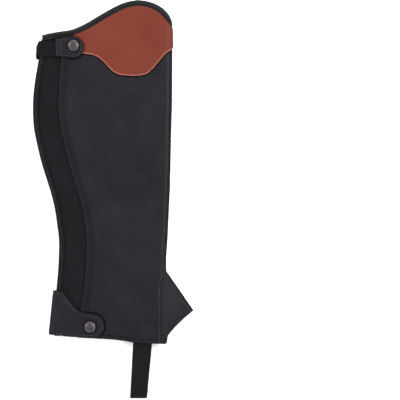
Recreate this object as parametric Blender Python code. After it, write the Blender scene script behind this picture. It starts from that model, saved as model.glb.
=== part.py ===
"""One leather half chap, for the right leg, lying flat on its inner side.

Every piece is cut as a flat pattern in the plane (across, up) and bent round the flattened leg:
across runs from the back edge over the outer side, round the front fold and along the underside.
The part's axes: +X to the shin, +Y up the leg, +Z out of the outer side; z = 0 is the underside.
All sizes are in millimetres until a mesh is made.
"""

import math
from collections import namedtuple

import bpy
import bmesh
from mathutils import Vector
from mathutils.geometry import delaunay_2d_cdt

MM = 0.001
GAP = 0.3  # between neighbours at a seam or in a stack

LEATHER = 1.8  # wall thicknesses
OVERLAY = 1.0
ELASTIC = 1.2
TAPE = 1.0
STRAP = 1.6
TAB = 2.0
STIRRUP = 1.5

GRID_LOW = -188.0  # the pattern rows start here and climb this far
GRID_RISE = 450.0
HEM_TURN = 145.0  # on the hidden side the hem repeats, counted back from here
FOLD_REACH = 7.0  # how far the front fold stands out from the flat outer side
SAG = 1.6  # the outer side dips between its folds
BINDING_WIDTH = 7.0
BINDING_HALF = 2.15
STRIP_WIDTH = 6.5
SEAM_LAP = 8.0  # elastic that runs on under the leather
UNDER_WRAP = 14.0  # outer panel past the fold, on the underside
GUSSET_TOP = -91.0
GUSSET_SHOULDER = -116.0
GUSSET_LOW = -184.5
GUSSET_TIP = (102.5, -142.2)
GUSSET_FOLD = 3.5  # radius of its folded edge
GUSSET_START = 0.03  # its first row, as a share of its length
GUSSET_CURVE = 0.3  # the share of its length where its seam rounds the front fold
TAB_TOP = -116.0
TAB_ROOT = 8.0  # where a tab starts on the underside, in from the back edge
SNAP_RADIUS = 7.3
SNAP_HEIGHT = 2.4
ZIP_INSET = 5.0  # from the back edge to the middle of the tapes
CHAIN_WIDTH = 5.0
CHAIN_THICK = 2.4
CHAIN_LOW = -163.8
BOX_LONG = 7.0
BOX_THICK = 3.8
SLIDER_Y = 171.0
SLIDER_HALF = 4.6
SLIDER_PLATE = 2.0  # from the zip's middle to the plate's face
ARCH_FOOT = 3.1  # half the arch's length, at its feet and at its crown
ARCH_CROWN = 2.2
ARCH_SINK = 0.3  # its feet run this far into the plate
ARCH_WALL = 0.9
ARCH_BEVEL = 0.6
ARCH_HALF = 0.8
PULL_OFF = 0.85  # the pull's axis above the slider's plate
PULL_LENGTH = 17.0
PULL_HALF = 2.6
PULL_TIP_HALF = 1.7
PULL_THICK = 0.9
PULL_TAPER = 3.0
WINDOW_HALF = 1.2
WINDOW_END = -5.4
TAPE_FLOOR = 2.3  # the inner tape's lowest level
ZIP_TOP = 182.0
STRAP_LOW = 184.2
STRAP_HIGH = 203.2
STRAP_DROP = 4.2  # how far it sinks as it rounds the back edge
STRAP_END = -62.0
TAB_LEFT = -73.5
TOP_TAB_X = -50.7
TOP_TAB_Y = 195.3
TOP_TAB_RADIUS = 13.7
LOWER_TAB_X = -25.5
LOWER_TAB_Y = -161.4
LOWER_TAB_RADIUS = 15.4
TOP_SNAP_X = -50.4
TOP_SNAP_Y = 197.5
LOWER_SNAP_X = -29.4
LOWER_SNAP_Y = -162.6
STIRRUP_X = 37.8
STIRRUP_TOP = -185.0
LOOP_END = -254.5
STIRRUP_WIDTH = 24.4
STIRRUP_TAPER = 2.6
STIRRUP_LEAN = -5.2

# Levels above the outer panel's middle layer
FACE = LEATHER / 2
OVERLAY_LOW = FACE + 1.5 * GAP
OVERLAY_HIGH = OVERLAY_LOW + OVERLAY
ELASTIC_HIGH = -FACE - GAP
ELASTIC_LOW = ELASTIC_HIGH - ELASTIC
TAPE_HIGH = ELASTIC_LOW - GAP

# Cross-sections of the flattened leg, from the hem to the mouth
Leg = namedtuple("Leg", "up back seam front thick")
LEG = (
    Leg(-190.0, -75.2, -46.5, 69.3, 15.6),
    Leg(-150.0, -73.9, -43.0, 69.3, 15.8),
    Leg(-116.0, -72.3, -37.8, 69.2, 16.0),
    Leg(-91.0, -70.2, -35.2, 68.3, 16.2),
    Leg(-72.0, -69.2, -34.2, 68.4, 16.4),
    Leg(-52.0, -69.0, -33.8, 69.8, 16.6),
    Leg(-31.0, -71.3, -35.8, 70.8, 16.9),
    Leg(-11.0, -74.4, -39.2, 71.7, 17.2),
    Leg(10.0, -79.4, -45.0, 72.8, 17.5),
    Leg(30.0, -85.8, -51.5, 73.4, 17.8),
    Leg(50.0, -91.8, -57.0, 73.9, 18.0),
    Leg(71.0, -96.9, -62.4, 74.3, 18.0),
    Leg(91.0, -100.8, -67.0, 74.8, 18.0),
    Leg(112.0, -102.2, -69.6, 75.4, 18.0),
    Leg(132.0, -101.8, -69.6, 75.8, 18.0),
    Leg(153.0, -99.4, -68.4, 75.9, 17.8),
    Leg(178.0, -95.2, -66.6, 76.1, 17.5),
    Leg(200.0, -92.0, -66.0, 75.9, 17.2),
    Leg(260.0, -86.0, -66.0, 75.5, 17.0),
)

# The mouth's edge, from the back corner over the knee's peak to the hidden side
Mouth = namedtuple("Mouth", "across up")
MOUTH = (
    Mouth(-90.6, 210.8),
    Mouth(-82.0, 213.0),
    Mouth(-67.0, 215.6),
    Mouth(-52.0, 218.0),
    Mouth(-41.5, 222.4),
    Mouth(-31.0, 227.7),
    Mouth(-16.0, 236.8),
    Mouth(0.0, 245.8),
    Mouth(10.0, 250.7),
    Mouth(20.0, 254.0),
    Mouth(34.0, 255.8),
    Mouth(51.0, 252.3),
    Mouth(61.0, 247.3),
    Mouth(66.0, 243.5),
    Mouth(71.5, 237.4),
    Mouth(77.4, 229.6),
    Mouth(84.0, 223.6),
    Mouth(93.0, 220.4),
    Mouth(130.0, 217.8),
    Mouth(249.5, 211.5),
)

# The hem, from the back edge to the shin
Hem = namedtuple("Hem", "across up")
HEM = (
    Hem(-82.0, -173.4),
    Hem(-57.0, -175.7),
    Hem(-16.0, -177.9),
    Hem(2.0, -179.1),
    Hem(14.0, -180.6),
    Hem(24.0, -182.4),
    Hem(34.0, -183.5),
    Hem(70.0, -184.6),
)

# The knee overlay's lower edge, a shallow scallop
Scallop = namedtuple("Scallop", "across up")
SCALLOP = (
    Scallop(-47.0, 188.6),
    Scallop(-33.5, 186.7),
    Scallop(-26.0, 185.6),
    Scallop(-18.5, 182.2),
    Scallop(-11.0, 175.8),
    Scallop(-3.0, 167.1),
    Scallop(5.0, 161.6),
    Scallop(15.0, 159.3),
    Scallop(34.0, 159.2),
    Scallop(43.0, 161.3),
    Scallop(51.0, 167.9),
    Scallop(60.0, 178.4),
    Scallop(67.5, 187.0),
    Scallop(77.0, 194.0),
    Scallop(85.5, 197.0),
)

# The lower tab's top edge, from the back edge to its round end
TabEdge = namedtuple("TabEdge", "across up")
TAB_EDGE = (
    TabEdge(-76.0, -116.0),
    TabEdge(-70.5, -116.6),
    TabEdge(-63.0, -119.6),
    TabEdge(-54.5, -130.8),
    TabEdge(-46.5, -139.8),
    TabEdge(-38.5, -143.8),
    TabEdge(-25.5, -146.0),
)

# The gusset's open lower edge: how far it leaves the straight line from hem to tip
Flare = namedtuple("Flare", "share x y")
FLARE = (
    Flare(0.0, 0.0, 0.0),
    Flare(0.12, 1.7, -5.0),
    Flare(0.26, -2.9, -0.8),
    Flare(0.5, -2.9, 0.6),
    Flare(0.75, -2.0, 0.3),
    Flare(1.0, 0.0, 0.0),
)

# The rolled binding's section, in half widths and half heights
BindingCorner = namedtuple("BindingCorner", "side level")
BINDING_CORNERS = (
    BindingCorner(-1.0, 0.0),
    BindingCorner(-0.8, 0.75),
    BindingCorner(-0.3, 1.0),
    BindingCorner(0.3, 1.0),
    BindingCorner(0.8, 0.75),
    BindingCorner(1.0, 0.0),
    BindingCorner(0.8, -0.75),
    BindingCorner(0.3, -1.0),
    BindingCorner(-0.3, -1.0),
    BindingCorner(-0.8, -0.75),
)

# A zip tape's section, before and after its edge at the chain: from the back edge, and in half walls
TapeCorner = namedtuple("TapeCorner", "reach level")
TAPE_CORNERS = (
    TapeCorner(0.8, 1.0),
    TapeCorner(4.2, 1.0),
    TapeCorner(5.1, 0.2),
    TapeCorner(5.5, -1.6),
    TapeCorner(4.5, -2.0),
    TapeCorner(3.9, -1.0),
    TapeCorner(0.8, -1.0),
)

# A press stud's cap, from its foot to the dish in its middle: shares of its radius and height
CapRing = namedtuple("CapRing", "radius height")
CAP_RINGS = (
    CapRing(0.62, 0.0),
    CapRing(0.96, 0.0),
    CapRing(1.0, 0.22),
    CapRing(0.98, 0.5),
    CapRing(0.9, 0.72),
    CapRing(0.74, 0.9),
    CapRing(0.5, 1.0),
    CapRing(0.22, 0.97),
)
CAP_MIDDLE = 0.94

# The stirrup loop's middle layer, seen from the side, from the outer panel round to the inner
Loop = namedtuple("Loop", "up z")
LOOP = (
    Loop(-152.0, 12.0),
    Loop(-168.0, 12.0),
    Loop(-184.0, 11.9),
    Loop(-198.0, 11.2),
    Loop(-212.0, 9.6),
    Loop(-226.0, 7.9),
    Loop(-238.0, 6.8),
    Loop(-247.0, 6.1),
    Loop(-251.5, 5.2),
    Loop(-253.8, 3.4),
    Loop(-252.4, 1.5),
    Loop(-249.0, 0.8),
    Loop(-236.0, 0.8),
    Loop(-220.0, 0.8),
    Loop(-204.0, 0.8),
    Loop(-195.0, 1.5),
    Loop(-187.5, 2.8),
    Loop(-178.0, 2.9),
    Loop(-166.0, 2.9),
    Loop(-152.0, 2.9),
)


def spline(rows, along, value):
    """A smooth function through one column of a table, against another."""
    xs = [getattr(row, along) for row in rows]
    ys = [getattr(row, value) for row in rows]
    last = len(xs) - 1
    slopes = []
    for i in range(last + 1):
        a = max(i - 1, 0)
        b = min(i + 1, last)
        slopes.append((ys[b] - ys[a]) / (xs[b] - xs[a]))

    def read(x):
        x = min(max(x, xs[0]), xs[-1])
        i = 0
        while i < last - 1 and x > xs[i + 1]:
            i += 1
        step = xs[i + 1] - xs[i]
        t = (x - xs[i]) / step
        start = ys[i] * (1 + 2 * t) * (1 - t) ** 2 + slopes[i] * step * t * (1 - t) ** 2
        end = ys[i + 1] * (3 - 2 * t) * t * t - slopes[i + 1] * step * t * t * (1 - t)
        return start + end

    return read


def ease(x, low, high):
    """0 below low, 1 above high, smooth between."""
    t = min(max((x - low) / (high - low), 0.0), 1.0)
    return t * t * (3 - 2 * t)


back = spline(LEG, "up", "back")
seam = spline(LEG, "up", "seam")
front = spline(LEG, "up", "front")
thick = spline(LEG, "up", "thick")
mouth = spline(MOUTH, "across", "up")
hem_out = spline(HEM, "across", "up")
scallop = spline(SCALLOP, "across", "up")
tab_edge = spline(TAB_EDGE, "across", "up")


def fold_start(up):
    return front(up) - FOLD_REACH


def fold_length(up):
    """Half an ellipse, by Ramanujan's rule, along the wall's middle."""
    a = FOLD_REACH - FACE
    b = thick(up) / 2 - FACE
    return math.pi / 2 * (3 * (a + b) - math.sqrt((3 * a + b) * (a + 3 * b)))


def fold_end(up):
    return fold_start(up) + fold_length(up)


def under(up, x):
    """The across value of a place on the underside."""
    return fold_end(up) + fold_start(up) - x


def hem(across):
    x = across if across < fold_start(GUSSET_TOP) else HEM_TURN - across
    return hem_out(x)


def middle(across, up):
    """The leg form's middle layer, before any piece is moved out from it."""
    start = fold_start(up)
    length = fold_length(up)
    top = thick(up) - FACE
    if across <= start:
        share = (across - back(up)) / (start - back(up))
        dip = SAG * math.sin(math.pi * min(max(share, 0.0), 1.0)) ** 2
        return Vector((across, up, top - dip))
    if across >= start + length:
        return Vector((2 * start + length - across, up, FACE))
    turn = math.pi * (across - start) / length
    reach = FOLD_REACH - FACE
    height = (top - FACE) / 2
    return Vector((start + reach * math.sin(turn), up, FACE + height * (1 + math.cos(turn))))


def lifted(across, up, lift, form=middle):
    """A place moved out from a form along its normal."""
    step = 0.05
    d_across = form(across + step, up) - form(across - step, up)
    d_up = form(across, up + step) - form(across, up - step)
    return form(across, up) + d_across.cross(d_up).normalized() * lift


def path(start, end, count, across_of, up_of):
    """Points of one pattern edge, without its last."""
    points = []
    for i in range(count):
        t = start + (end - start) * i / count
        points.append((across_of(t), up_of(t)))
    return points


def same(value):
    return lambda _: value


def itself(value):
    return value


def shifted(edge, distance):
    """An edge function moved by a fixed distance."""
    return lambda t: edge(t) + distance


def mouth_edge(start, end, count, inset):
    """The mouth's line set in at right angles to it, without its last point."""
    points = []
    for i in range(count):
        across = start + (end - start) * i / count
        slope = (mouth(across + 0.5) - mouth(across - 0.5)) / 1.0
        long = math.hypot(1.0, slope)
        points.append((across + inset * slope / long, mouth(across) - inset / long))
    return points


def inside(point, outline, margin):
    """Whether a pattern point lies in an outline, clear of its edge."""
    x, y = point
    found = False
    for (ax, ay), (bx, by) in zip(outline, outline[1:] + outline[:1]):
        if (ay > y) != (by > y) and x < ax + (y - ay) * (bx - ax) / (by - ay):
            found = not found
        run = Vector((bx - ax, by - ay))
        share = min(max(run.dot((x - ax, y - ay)) / run.length_squared, 0.0), 1.0)
        if math.hypot(x - ax - share * run.x, y - ay - share * run.y) < margin:
            return False
    return found


def leg_grid(row_gap, flat_columns, fold_columns):
    """Pattern points on lines that follow the back edge and the front fold."""
    points = []
    for r in range(int(GRID_RISE / row_gap)):
        up = GRID_LOW + row_gap * (r + 0.5)
        start = fold_start(up)
        end = fold_end(up)
        columns = [back(up) + (start - back(up)) * c / flat_columns for c in range(flat_columns + 1)]
        columns += [start + (end - start) * c / fold_columns for c in range(1, fold_columns + 1)]
        columns += [end + (start - back(up)) * c / flat_columns for c in range(1, flat_columns + 1)]
        points += [(across, up) for across in columns]
    return points


def make_object(name, points, faces, material):
    mesh = bpy.data.meshes.new(name)
    mesh.from_pydata([Vector(p) * MM for p in points], [], faces)
    mesh.materials.append(material)
    mesh.shade_smooth()
    mesh.set_sharp_from_angle(angle=math.radians(40))
    thing = bpy.data.objects.new(name, mesh)
    bpy.context.collection.objects.link(thing)
    return thing


def cut(name, outline, low, high, material, grid=(), margin=0.9, form=middle):
    """Cuts a flat pattern and bends it into a closed wall between two levels above the form."""
    kept = [p for p in grid if inside(p, outline, margin)]
    ring = list(range(len(outline)))
    flat, _, triangles, _, _, _ = delaunay_2d_cdt(
        [Vector(p) for p in outline + kept], [], [ring], 1, 1e-5
    )
    count = len(flat)
    points = [lifted(p.x, p.y, high, form) for p in flat]
    points += [lifted(p.x, p.y, low, form) for p in flat]
    faces = [tuple(t) for t in triangles]
    edges = {(t[i], t[(i + 1) % len(t)]) for t in faces for i in range(len(t))}
    faces += [tuple(reversed([i + count for i in t])) for t in triangles]
    for a, b in edges:
        if (b, a) not in edges:
            faces.append((b, a, a + count, b + count))
    return make_object(name, points, faces, material)


def sweep(name, rings, material):
    """A closed body through rings of the same number of points, with flat ends."""
    size = len(rings[0])
    points = [p for ring in rings for p in ring]
    faces = [tuple(reversed(range(size)))]
    for r in range(len(rings) - 1):
        for i in range(size):
            a = r * size + i
            b = r * size + (i + 1) % size
            faces.append((a, b, b + size, a + size))
    faces.append(tuple(range((len(rings) - 1) * size, len(rings) * size)))
    thing = make_object(name, points, faces, material)
    work = bmesh.new()
    work.from_mesh(thing.data)
    bmesh.ops.recalc_face_normals(work, faces=work.faces)
    work.to_mesh(thing.data)
    work.free()
    return thing


def finish(name, colour, roughness, metallic=0.0):
    material = bpy.data.materials.new(name)
    material.use_nodes = True
    shader = material.node_tree.nodes["Principled BSDF"]
    shader.inputs["Base Color"].default_value = (*colour, 1.0)
    shader.inputs["Roughness"].default_value = roughness
    shader.inputs["Metallic"].default_value = metallic
    return material


def shell(name, rows, half, material):
    """A closed wall, half a thickness to each side of a grid of points."""
    last_row = len(rows) - 1
    last = len(rows[0]) - 1
    outer, inner = [], []
    for r, row in enumerate(rows):
        for c, point in enumerate(row):
            along = row[min(c + 1, last)] - row[max(c - 1, 0)]
            down = rows[min(r + 1, last_row)][c] - rows[max(r - 1, 0)][c]
            normal = down.cross(along).normalized()
            outer.append(point + normal * half)
            inner.append(point - normal * half)
    size = last + 1
    count = len(outer)
    faces = []
    for r in range(last_row):
        for c in range(last):
            a = r * size + c
            quad = (a, a + size, a + size + 1, a + 1)
            faces.append(quad)
            faces.append(tuple(reversed([i + count for i in quad])))
    rim = [c for c in range(size)]
    rim += [r * size + last for r in range(1, last_row + 1)]
    rim += [last_row * size + c for c in range(last - 1, -1, -1)]
    rim += [r * size for r in range(last_row - 1, 0, -1)]
    for a, b in zip(rim, rim[1:] + rim[:1]):
        faces.append((a, b, b + count, a + count))
    return make_object(name, outer + inner, faces, material)


def make_outer_panel(leather, grid):
    """Outer and shin panel in one, with a slot up its front for the gusset."""
    low_back = hem_out(seam(-175.0))
    slot_low = hem_out(fold_start(-184.0))
    half_gap = GAP / 2
    outline = path(seam(low_back), fold_start(-184.0) - half_gap, 11, itself, hem)
    outline += path(slot_low, GUSSET_SHOULDER, 5, shifted(fold_start, -half_gap), itself)
    outline += slot_edge(half_gap, -90.0, 90.0, 12)
    outline += path(GUSSET_SHOULDER, slot_low, 5, shifted(fold_end, half_gap), itself)
    right = shifted(fold_end, UNDER_WRAP)
    outline += path(right(slot_low) - UNDER_WRAP + half_gap, right(slot_low), 2, itself, same(slot_low))
    top = mouth(right(219.0)) - BINDING_WIDTH - GAP
    outline += path(slot_low, top, 24, right, itself)
    outline += mouth_edge(right(top), seam(208.0) + 1.0, 56, BINDING_WIDTH + GAP)
    outline += path(mouth(seam(208.0)) - BINDING_WIDTH - GAP, low_back, 28, seam, itself)
    cut("outer_panel", outline, -FACE, FACE, leather, grid)


def slot_edge(widen, start, end, count):
    """The gusset seam where it rounds the front fold: half an ellipse in the pattern."""
    points = []
    for i in range(count + 1):
        turn = math.radians(start + (end - start) * i / count)
        rise = (GUSSET_TOP - GUSSET_SHOULDER + widen) * math.cos(turn)
        up = GUSSET_SHOULDER + rise
        centre = fold_start(up) + fold_length(up) / 2
        points.append((centre + (fold_length(up) / 2 + widen) * math.sin(turn), up))
    return points[:-1]


def make_back_strip(leather):
    low = hem_out(back(-173.0))
    inset = BINDING_WIDTH + 2 * GAP
    inner = shifted(back, STRIP_WIDTH)
    high = mouth(inner(204.0)) - inset
    high_back = mouth(back(202.0)) - inset
    outline = path(back(low), inner(low), 2, itself, same(low))
    outline += path(low, high, 30, inner, itself)
    outline += path(inner(high), back(high_back), 2, itself, lambda x: mouth(x) - inset)
    outline += path(high_back, low, 30, back, itself)
    cut("back_strip", outline, -FACE, FACE, leather)


def make_elastic_panel(elastic, grid):
    """The stretch panel, lapped under the leather along both of its long edges."""
    low = hem_out(-57.0) + 3.0
    inset = BINDING_WIDTH + 2 * GAP
    left = shifted(back, 1.5)
    right = shifted(seam, SEAM_LAP)
    high_right = mouth(right(208.0)) - inset
    high_left = mouth(left(202.0)) - inset
    outline = path(left(low), right(low), 4, itself, same(low))
    outline += path(low, high_right, 30, right, itself)
    outline += mouth_edge(right(high_right), left(high_left), 8, inset)
    outline += path(high_left, low, 30, left, itself)
    cut("elastic_panel", outline, ELASTIC_LOW, ELASTIC_HIGH, elastic, grid, 3.0)


def make_inner_panel(leather):
    """The hidden side, plain; its back edge is set in where the two tabs start."""
    def edge(up):
        return under(up, back(up))

    def set_in(up):
        return under(up, back(up) + TAB_ROOT + 3 * GAP)

    start = shifted(fold_end, UNDER_WRAP + GAP)
    low = hem_out(50.0)
    low_back = hem_out(back(-173.0))
    tab_line = TAB_TOP + GAP + 0.6
    outline = path(start(low), set_in(low_back), 12, itself, hem)
    strap_line = STRAP_LOW - STRAP_DROP - GAP
    outline += path(low_back, tab_line, 5, set_in, itself)
    outline += [(set_in(tab_line), tab_line)]
    outline += path(tab_line, strap_line, 22, edge, itself)
    outline += [(edge(strap_line), strap_line)]
    outline += path(strap_line, STRAP_HIGH, 3, set_in, itself)
    top = mouth(start(212.0)) - BINDING_WIDTH - GAP
    outline += mouth_edge(set_in(STRAP_HIGH), start(top), 10, BINDING_WIDTH + GAP)
    outline += path(top, low, 22, start, itself)
    cut("inner_panel", outline, -FACE, FACE, leather)


def make_spanish_top(brown, grid):
    """The knee overlay: it rounds the front fold and stops before the underside."""
    left = SCALLOP[0].across
    right = SCALLOP[-1].across
    outline = path(left, right, 88, itself, scallop)
    outline += path(scallop(right), mouth(right) - BINDING_WIDTH - GAP, 4, same(right), itself)
    outline += mouth_edge(right, left, 88, BINDING_WIDTH + GAP)
    top = mouth(left) - BINDING_WIDTH - GAP
    for i in range(8):
        turn = math.pi * (0.5 + i / 8)
        middle_up = (top + SCALLOP[0].up) / 2
        outline.append((left + 6.0 * math.cos(turn), middle_up + (top - middle_up) * math.sin(turn)))
    cut("spanish_top", outline, OVERLAY_LOW, OVERLAY_HIGH, brown, grid)


def make_top_binding(binding):
    """A rolled edge, swept round the mouth from the back edge to the hidden side's back edge."""
    start = MOUTH[0].across
    end = under(205.0, back(205.0) + TAB_ROOT + 3 * GAP)
    rings = []
    count = 60
    for i in range(count + 1):
        across = start + (end - start) * i / count
        slope = mouth(across + 0.5) - mouth(across - 0.5)
        long = math.hypot(1.0, slope)
        up = mouth(across)
        hidden = ease(across, fold_start(up), fold_end(up))
        centre = 0.2 + hidden * (FACE - BINDING_HALF - 0.2)
        ring = []
        for corner in BINDING_CORNERS:
            inset = BINDING_WIDTH * (1 + corner.side) / 2
            place = (across + inset * slope / long, up - inset / long)
            ring.append(lifted(*place, centre + BINDING_HALF * corner.level))
        rings.append(ring)
    sweep("top_binding", rings, binding)


def gusset_point(share, down, side):
    """The gusset's middle: share 0 at its seam and 1 at its fold, down 0 at the top and 1 at the hem."""
    if down < GUSSET_CURVE:
        turn = math.radians(90.0 * down / GUSSET_CURVE)
        up = GUSSET_SHOULDER + (GUSSET_TOP - GUSSET_SHOULDER - 2 * GAP) * math.cos(turn)
        half = fold_length(up) / 2 - GAP
        across = fold_start(up) + fold_length(up) / 2 - side * half * math.sin(turn)
    else:
        part = (down - GUSSET_CURVE) / (1 - GUSSET_CURVE)
        up = GUSSET_SHOULDER + part * (GUSSET_LOW - GUSSET_SHOULDER)
        across = fold_start(up) + GAP if side > 0 else fold_end(up) - GAP
    seam_place = middle(across, up)
    top = middle(fold_start(GUSSET_TOP) + fold_length(GUSSET_TOP) / 2, GUSSET_TOP)
    fold_z = top.z + (FACE + GUSSET_FOLD - top.z) * ease(down, 0.0, 0.5)
    fold_place = Vector((top.x, top.y - GAP, 0)).lerp(Vector((*GUSSET_TIP, 0)), down)
    place = Vector((seam_place.x, seam_place.y, 0)).lerp(fold_place, share)
    for a, b in zip(FLARE, FLARE[1:]):
        if a.share <= share <= b.share:
            part = (share - a.share) / (b.share - a.share)
            shift = Vector((a.x, a.y, 0)).lerp(Vector((b.x, b.y, 0)), part)
            place += shift * down ** 4
            break
    width = max((fold_place - Vector((seam_place.x, seam_place.y, 0))).length, 0.01)
    away = (1 - share) * width
    rise = seam_place.z - fold_z
    round_rise = max(min(rise, GUSSET_FOLD), -GUSSET_FOLD) if side > 0 else rise
    near = min(away / GUSSET_FOLD, 1.0) if width > GUSSET_FOLD else 1 - share
    bend = math.sqrt(1 - (1 - near) ** 2)
    place.z = fold_z + round_rise * bend + (rise - round_rise) * (1 - share)
    return place


def make_instep_gusset(leather):
    """The flare over the boot's instep, folded down its middle."""
    shares = (0.0, 0.06, 0.12, 0.19, 0.26, 0.38, 0.5, 0.64, 0.78, 0.88, 0.94, 0.97, 0.99)
    rows = []
    count = 14
    for i in range(count + 1):
        down = GUSSET_START + (1 - GUSSET_START) * i / count
        row = [gusset_point(share, down, 1) for share in shares]
        row.append(gusset_point(1.0, down, 1))
        row += [gusset_point(share, down, -1) for share in reversed(shares)]
        rows.append(row)
    shell("instep_gusset", rows, FACE, leather)


# A tab's outermost edge, level, half thickness, and how far it sinks on its way round the back
Wrap = namedtuple("Wrap", "reach lift half drop")
Turn = namedtuple("Turn", "start radius top quarter straight")


def wrap_turn(wrap, up):
    """The tab's section round the back edge: two quarter circles with a straight between."""
    start = back(up) - GAP
    radius = start - wrap.reach(up) - wrap.half
    top = middle(start, up).z + wrap.lift(start)
    return Turn(start, radius, top, radius * math.pi / 2, top - wrap.half - 2 * radius)


def wrap_form(wrap):
    """A middle layer over the outer side that rounds the back edge and returns along the underside."""
    def place(across, up):
        turn = wrap_turn(wrap, up)
        gone = turn.start - across
        if gone <= 0:
            return Vector((across, up, middle(across, up).z + wrap.lift(across)))
        y = up - wrap.drop * ease(gone, 0.0, 2 * turn.quarter + turn.straight)
        if gone <= turn.quarter:
            angle = gone / turn.radius
            fall = turn.radius * (1 - math.cos(angle))
            return Vector((turn.start - turn.radius * math.sin(angle), y, turn.top - fall))
        gone -= turn.quarter
        if gone <= turn.straight:
            return Vector((turn.start - turn.radius, y, turn.top - turn.radius - gone))
        gone -= turn.straight
        if gone <= turn.quarter:
            angle = gone / turn.radius
            rise = turn.radius * (1 - math.sin(angle))
            return Vector((turn.start - turn.radius * math.cos(angle), y, wrap.half + rise))
        return Vector((turn.start + gone - turn.quarter, y, wrap.half))

    return place


def wrap_stations(wrap, up):
    """The across values of a tab's section, from the back edge round to its root on the underside."""
    turn = wrap_turn(wrap, up)
    q = turn.quarter
    full = 2 * q + turn.straight
    gone = [0.0, q / 3, 2 * q / 3, q, q + turn.straight / 2, q + turn.straight]
    gone += [full - 2 * q / 3, full - q / 3, full, full + TAB_ROOT / 2, full + TAB_ROOT + GAP]
    return [turn.start - g for g in gone]


def wrap_edge(wrap, up_of):
    """The pattern points where one edge of a tab goes round the back."""
    across = back(up_of(back(0)))
    return [(x, up_of(x)) for x in wrap_stations(wrap, up_of(across))]


def wrap_grid(wrap, low, high, gap):
    rows = max(int((high - low) / gap), 2)
    ups = [low + (high - low) * r / rows for r in range(rows + 1)]
    return [(x, up) for up in ups for x in wrap_stations(wrap, up)]


def strap_reach(up):
    """The strap's fold leans in towards its top corner."""
    return -98.7 + 0.04 * (up - STRAP_LOW) + 3.4 * ease(up, 196.0, 205.0)


def lower_reach(up):
    return -76.7 + 0.105 * (up - TAB_TOP)


def strap_lift(across):
    return FACE + GAP + STRAP / 2


def lower_lift(across):
    return FACE + GAP + TAB / 2


def top_tab_lift(across):
    """Over the strap's end at its left, and over the knee overlay at its right."""
    on_strap = FACE + STRAP + 2 * GAP + TAB / 2
    on_overlay = OVERLAY_HIGH + GAP + TAB / 2
    return on_strap + (on_overlay - on_strap) * ease(across, -60.0, -52.0)


def strip_grid(left, right, low, high, gap):
    """Pattern points over a box."""
    points = []
    columns = max(int((right - left) / gap), 1)
    rows = max(int((high - low) / gap), 1)
    for c in range(1, columns):
        for r in range(1, rows):
            points.append((left + (right - left) * c / columns, low + (high - low) * r / rows))
    return points


def round_end(x, y, radius, count):
    """Half a circle, from its top round its right to its bottom."""
    points = []
    for i in range(count):
        turn = math.pi * (0.5 - i / count)
        points.append((x + radius * math.cos(turn), y + radius * math.sin(turn)))
    return points


def make_top_strap(elastic):
    wrap = Wrap(strap_reach, strap_lift, STRAP / 2, STRAP_DROP)
    low_wrap = wrap_edge(wrap, same(STRAP_LOW))
    high_wrap = wrap_edge(wrap, same(STRAP_HIGH))
    outline = list(reversed(low_wrap))
    outline += path(low_wrap[0][0] + 3.0, STRAP_END, 4, itself, same(STRAP_LOW))
    outline += path(STRAP_LOW, STRAP_HIGH, 2, same(STRAP_END), itself)
    outline += path(STRAP_END, high_wrap[0][0] + 3.0, 4, itself, same(STRAP_HIGH))
    outline += [(high_wrap[0][0] + 3.0, STRAP_HIGH)] + high_wrap
    grid = wrap_grid(wrap, STRAP_LOW, STRAP_HIGH, 7.0)
    cut("top_strap", outline, -STRAP / 2, STRAP / 2, elastic, grid, 0.5, wrap_form(wrap))


def make_top_tab(leather):
    def form(across, up):
        return middle(across, up) + Vector((0, 0, top_tab_lift(across)))

    outline = round_end(TOP_TAB_X, TOP_TAB_Y, TOP_TAB_RADIUS, 14)
    low_left = STRAP_LOW - 0.7
    high_left = STRAP_HIGH + 3.0
    outline += path(TOP_TAB_X, TAB_LEFT, 5, itself,
                    lambda x: TOP_TAB_Y - TOP_TAB_RADIUS + (TOP_TAB_X - x) / (TOP_TAB_X - TAB_LEFT)
                    * (low_left - TOP_TAB_Y + TOP_TAB_RADIUS))
    outline += path(low_left, high_left, 3, same(TAB_LEFT), itself)
    outline += path(TAB_LEFT, TOP_TAB_X, 5, itself,
                    lambda x: high_left + (x - TAB_LEFT) / (TOP_TAB_X - TAB_LEFT)
                    * (TOP_TAB_Y + TOP_TAB_RADIUS - high_left))
    outline.reverse()
    grid = strip_grid(TAB_LEFT, TOP_TAB_X + TOP_TAB_RADIUS, 180.0, 210.0, 4.0)
    cut("top_tab", outline, -TAB / 2, TAB / 2, leather, grid, 1.2, form)
    return form


def make_lower_tab(leather):
    wrap = Wrap(lower_reach, lower_lift, TAB / 2, 0.0)

    def low(x):
        return hem_out(x) + 1.0

    low_wrap = wrap_edge(wrap, low)
    high_wrap = wrap_edge(wrap, same(TAB_TOP))
    outline = round_end(LOWER_TAB_X, LOWER_TAB_Y, LOWER_TAB_RADIUS, 16)
    outline += path(LOWER_TAB_X, low_wrap[0][0] + 2.0, 8, itself, low)
    outline += low_wrap
    outline += path(low_wrap[-1][1], TAB_TOP, 6, lambda up: wrap_stations(wrap, up)[-1], itself)[1:]
    outline += list(reversed(high_wrap))
    outline += path(TAB_EDGE[0].across + 4.0, LOWER_TAB_X, 20, itself, tab_edge)
    outline.reverse()
    grid = wrap_grid(wrap, low_wrap[-1][1], TAB_TOP, 7.5)
    grid += strip_grid(-70.0, LOWER_TAB_X + LOWER_TAB_RADIUS, low_wrap[-1][1] - 3.0, TAB_TOP, 7.0)
    form = wrap_form(wrap)
    cut("lower_tab", outline, -TAB / 2, TAB / 2, leather, grid, 1.0, form)
    return form


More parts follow.
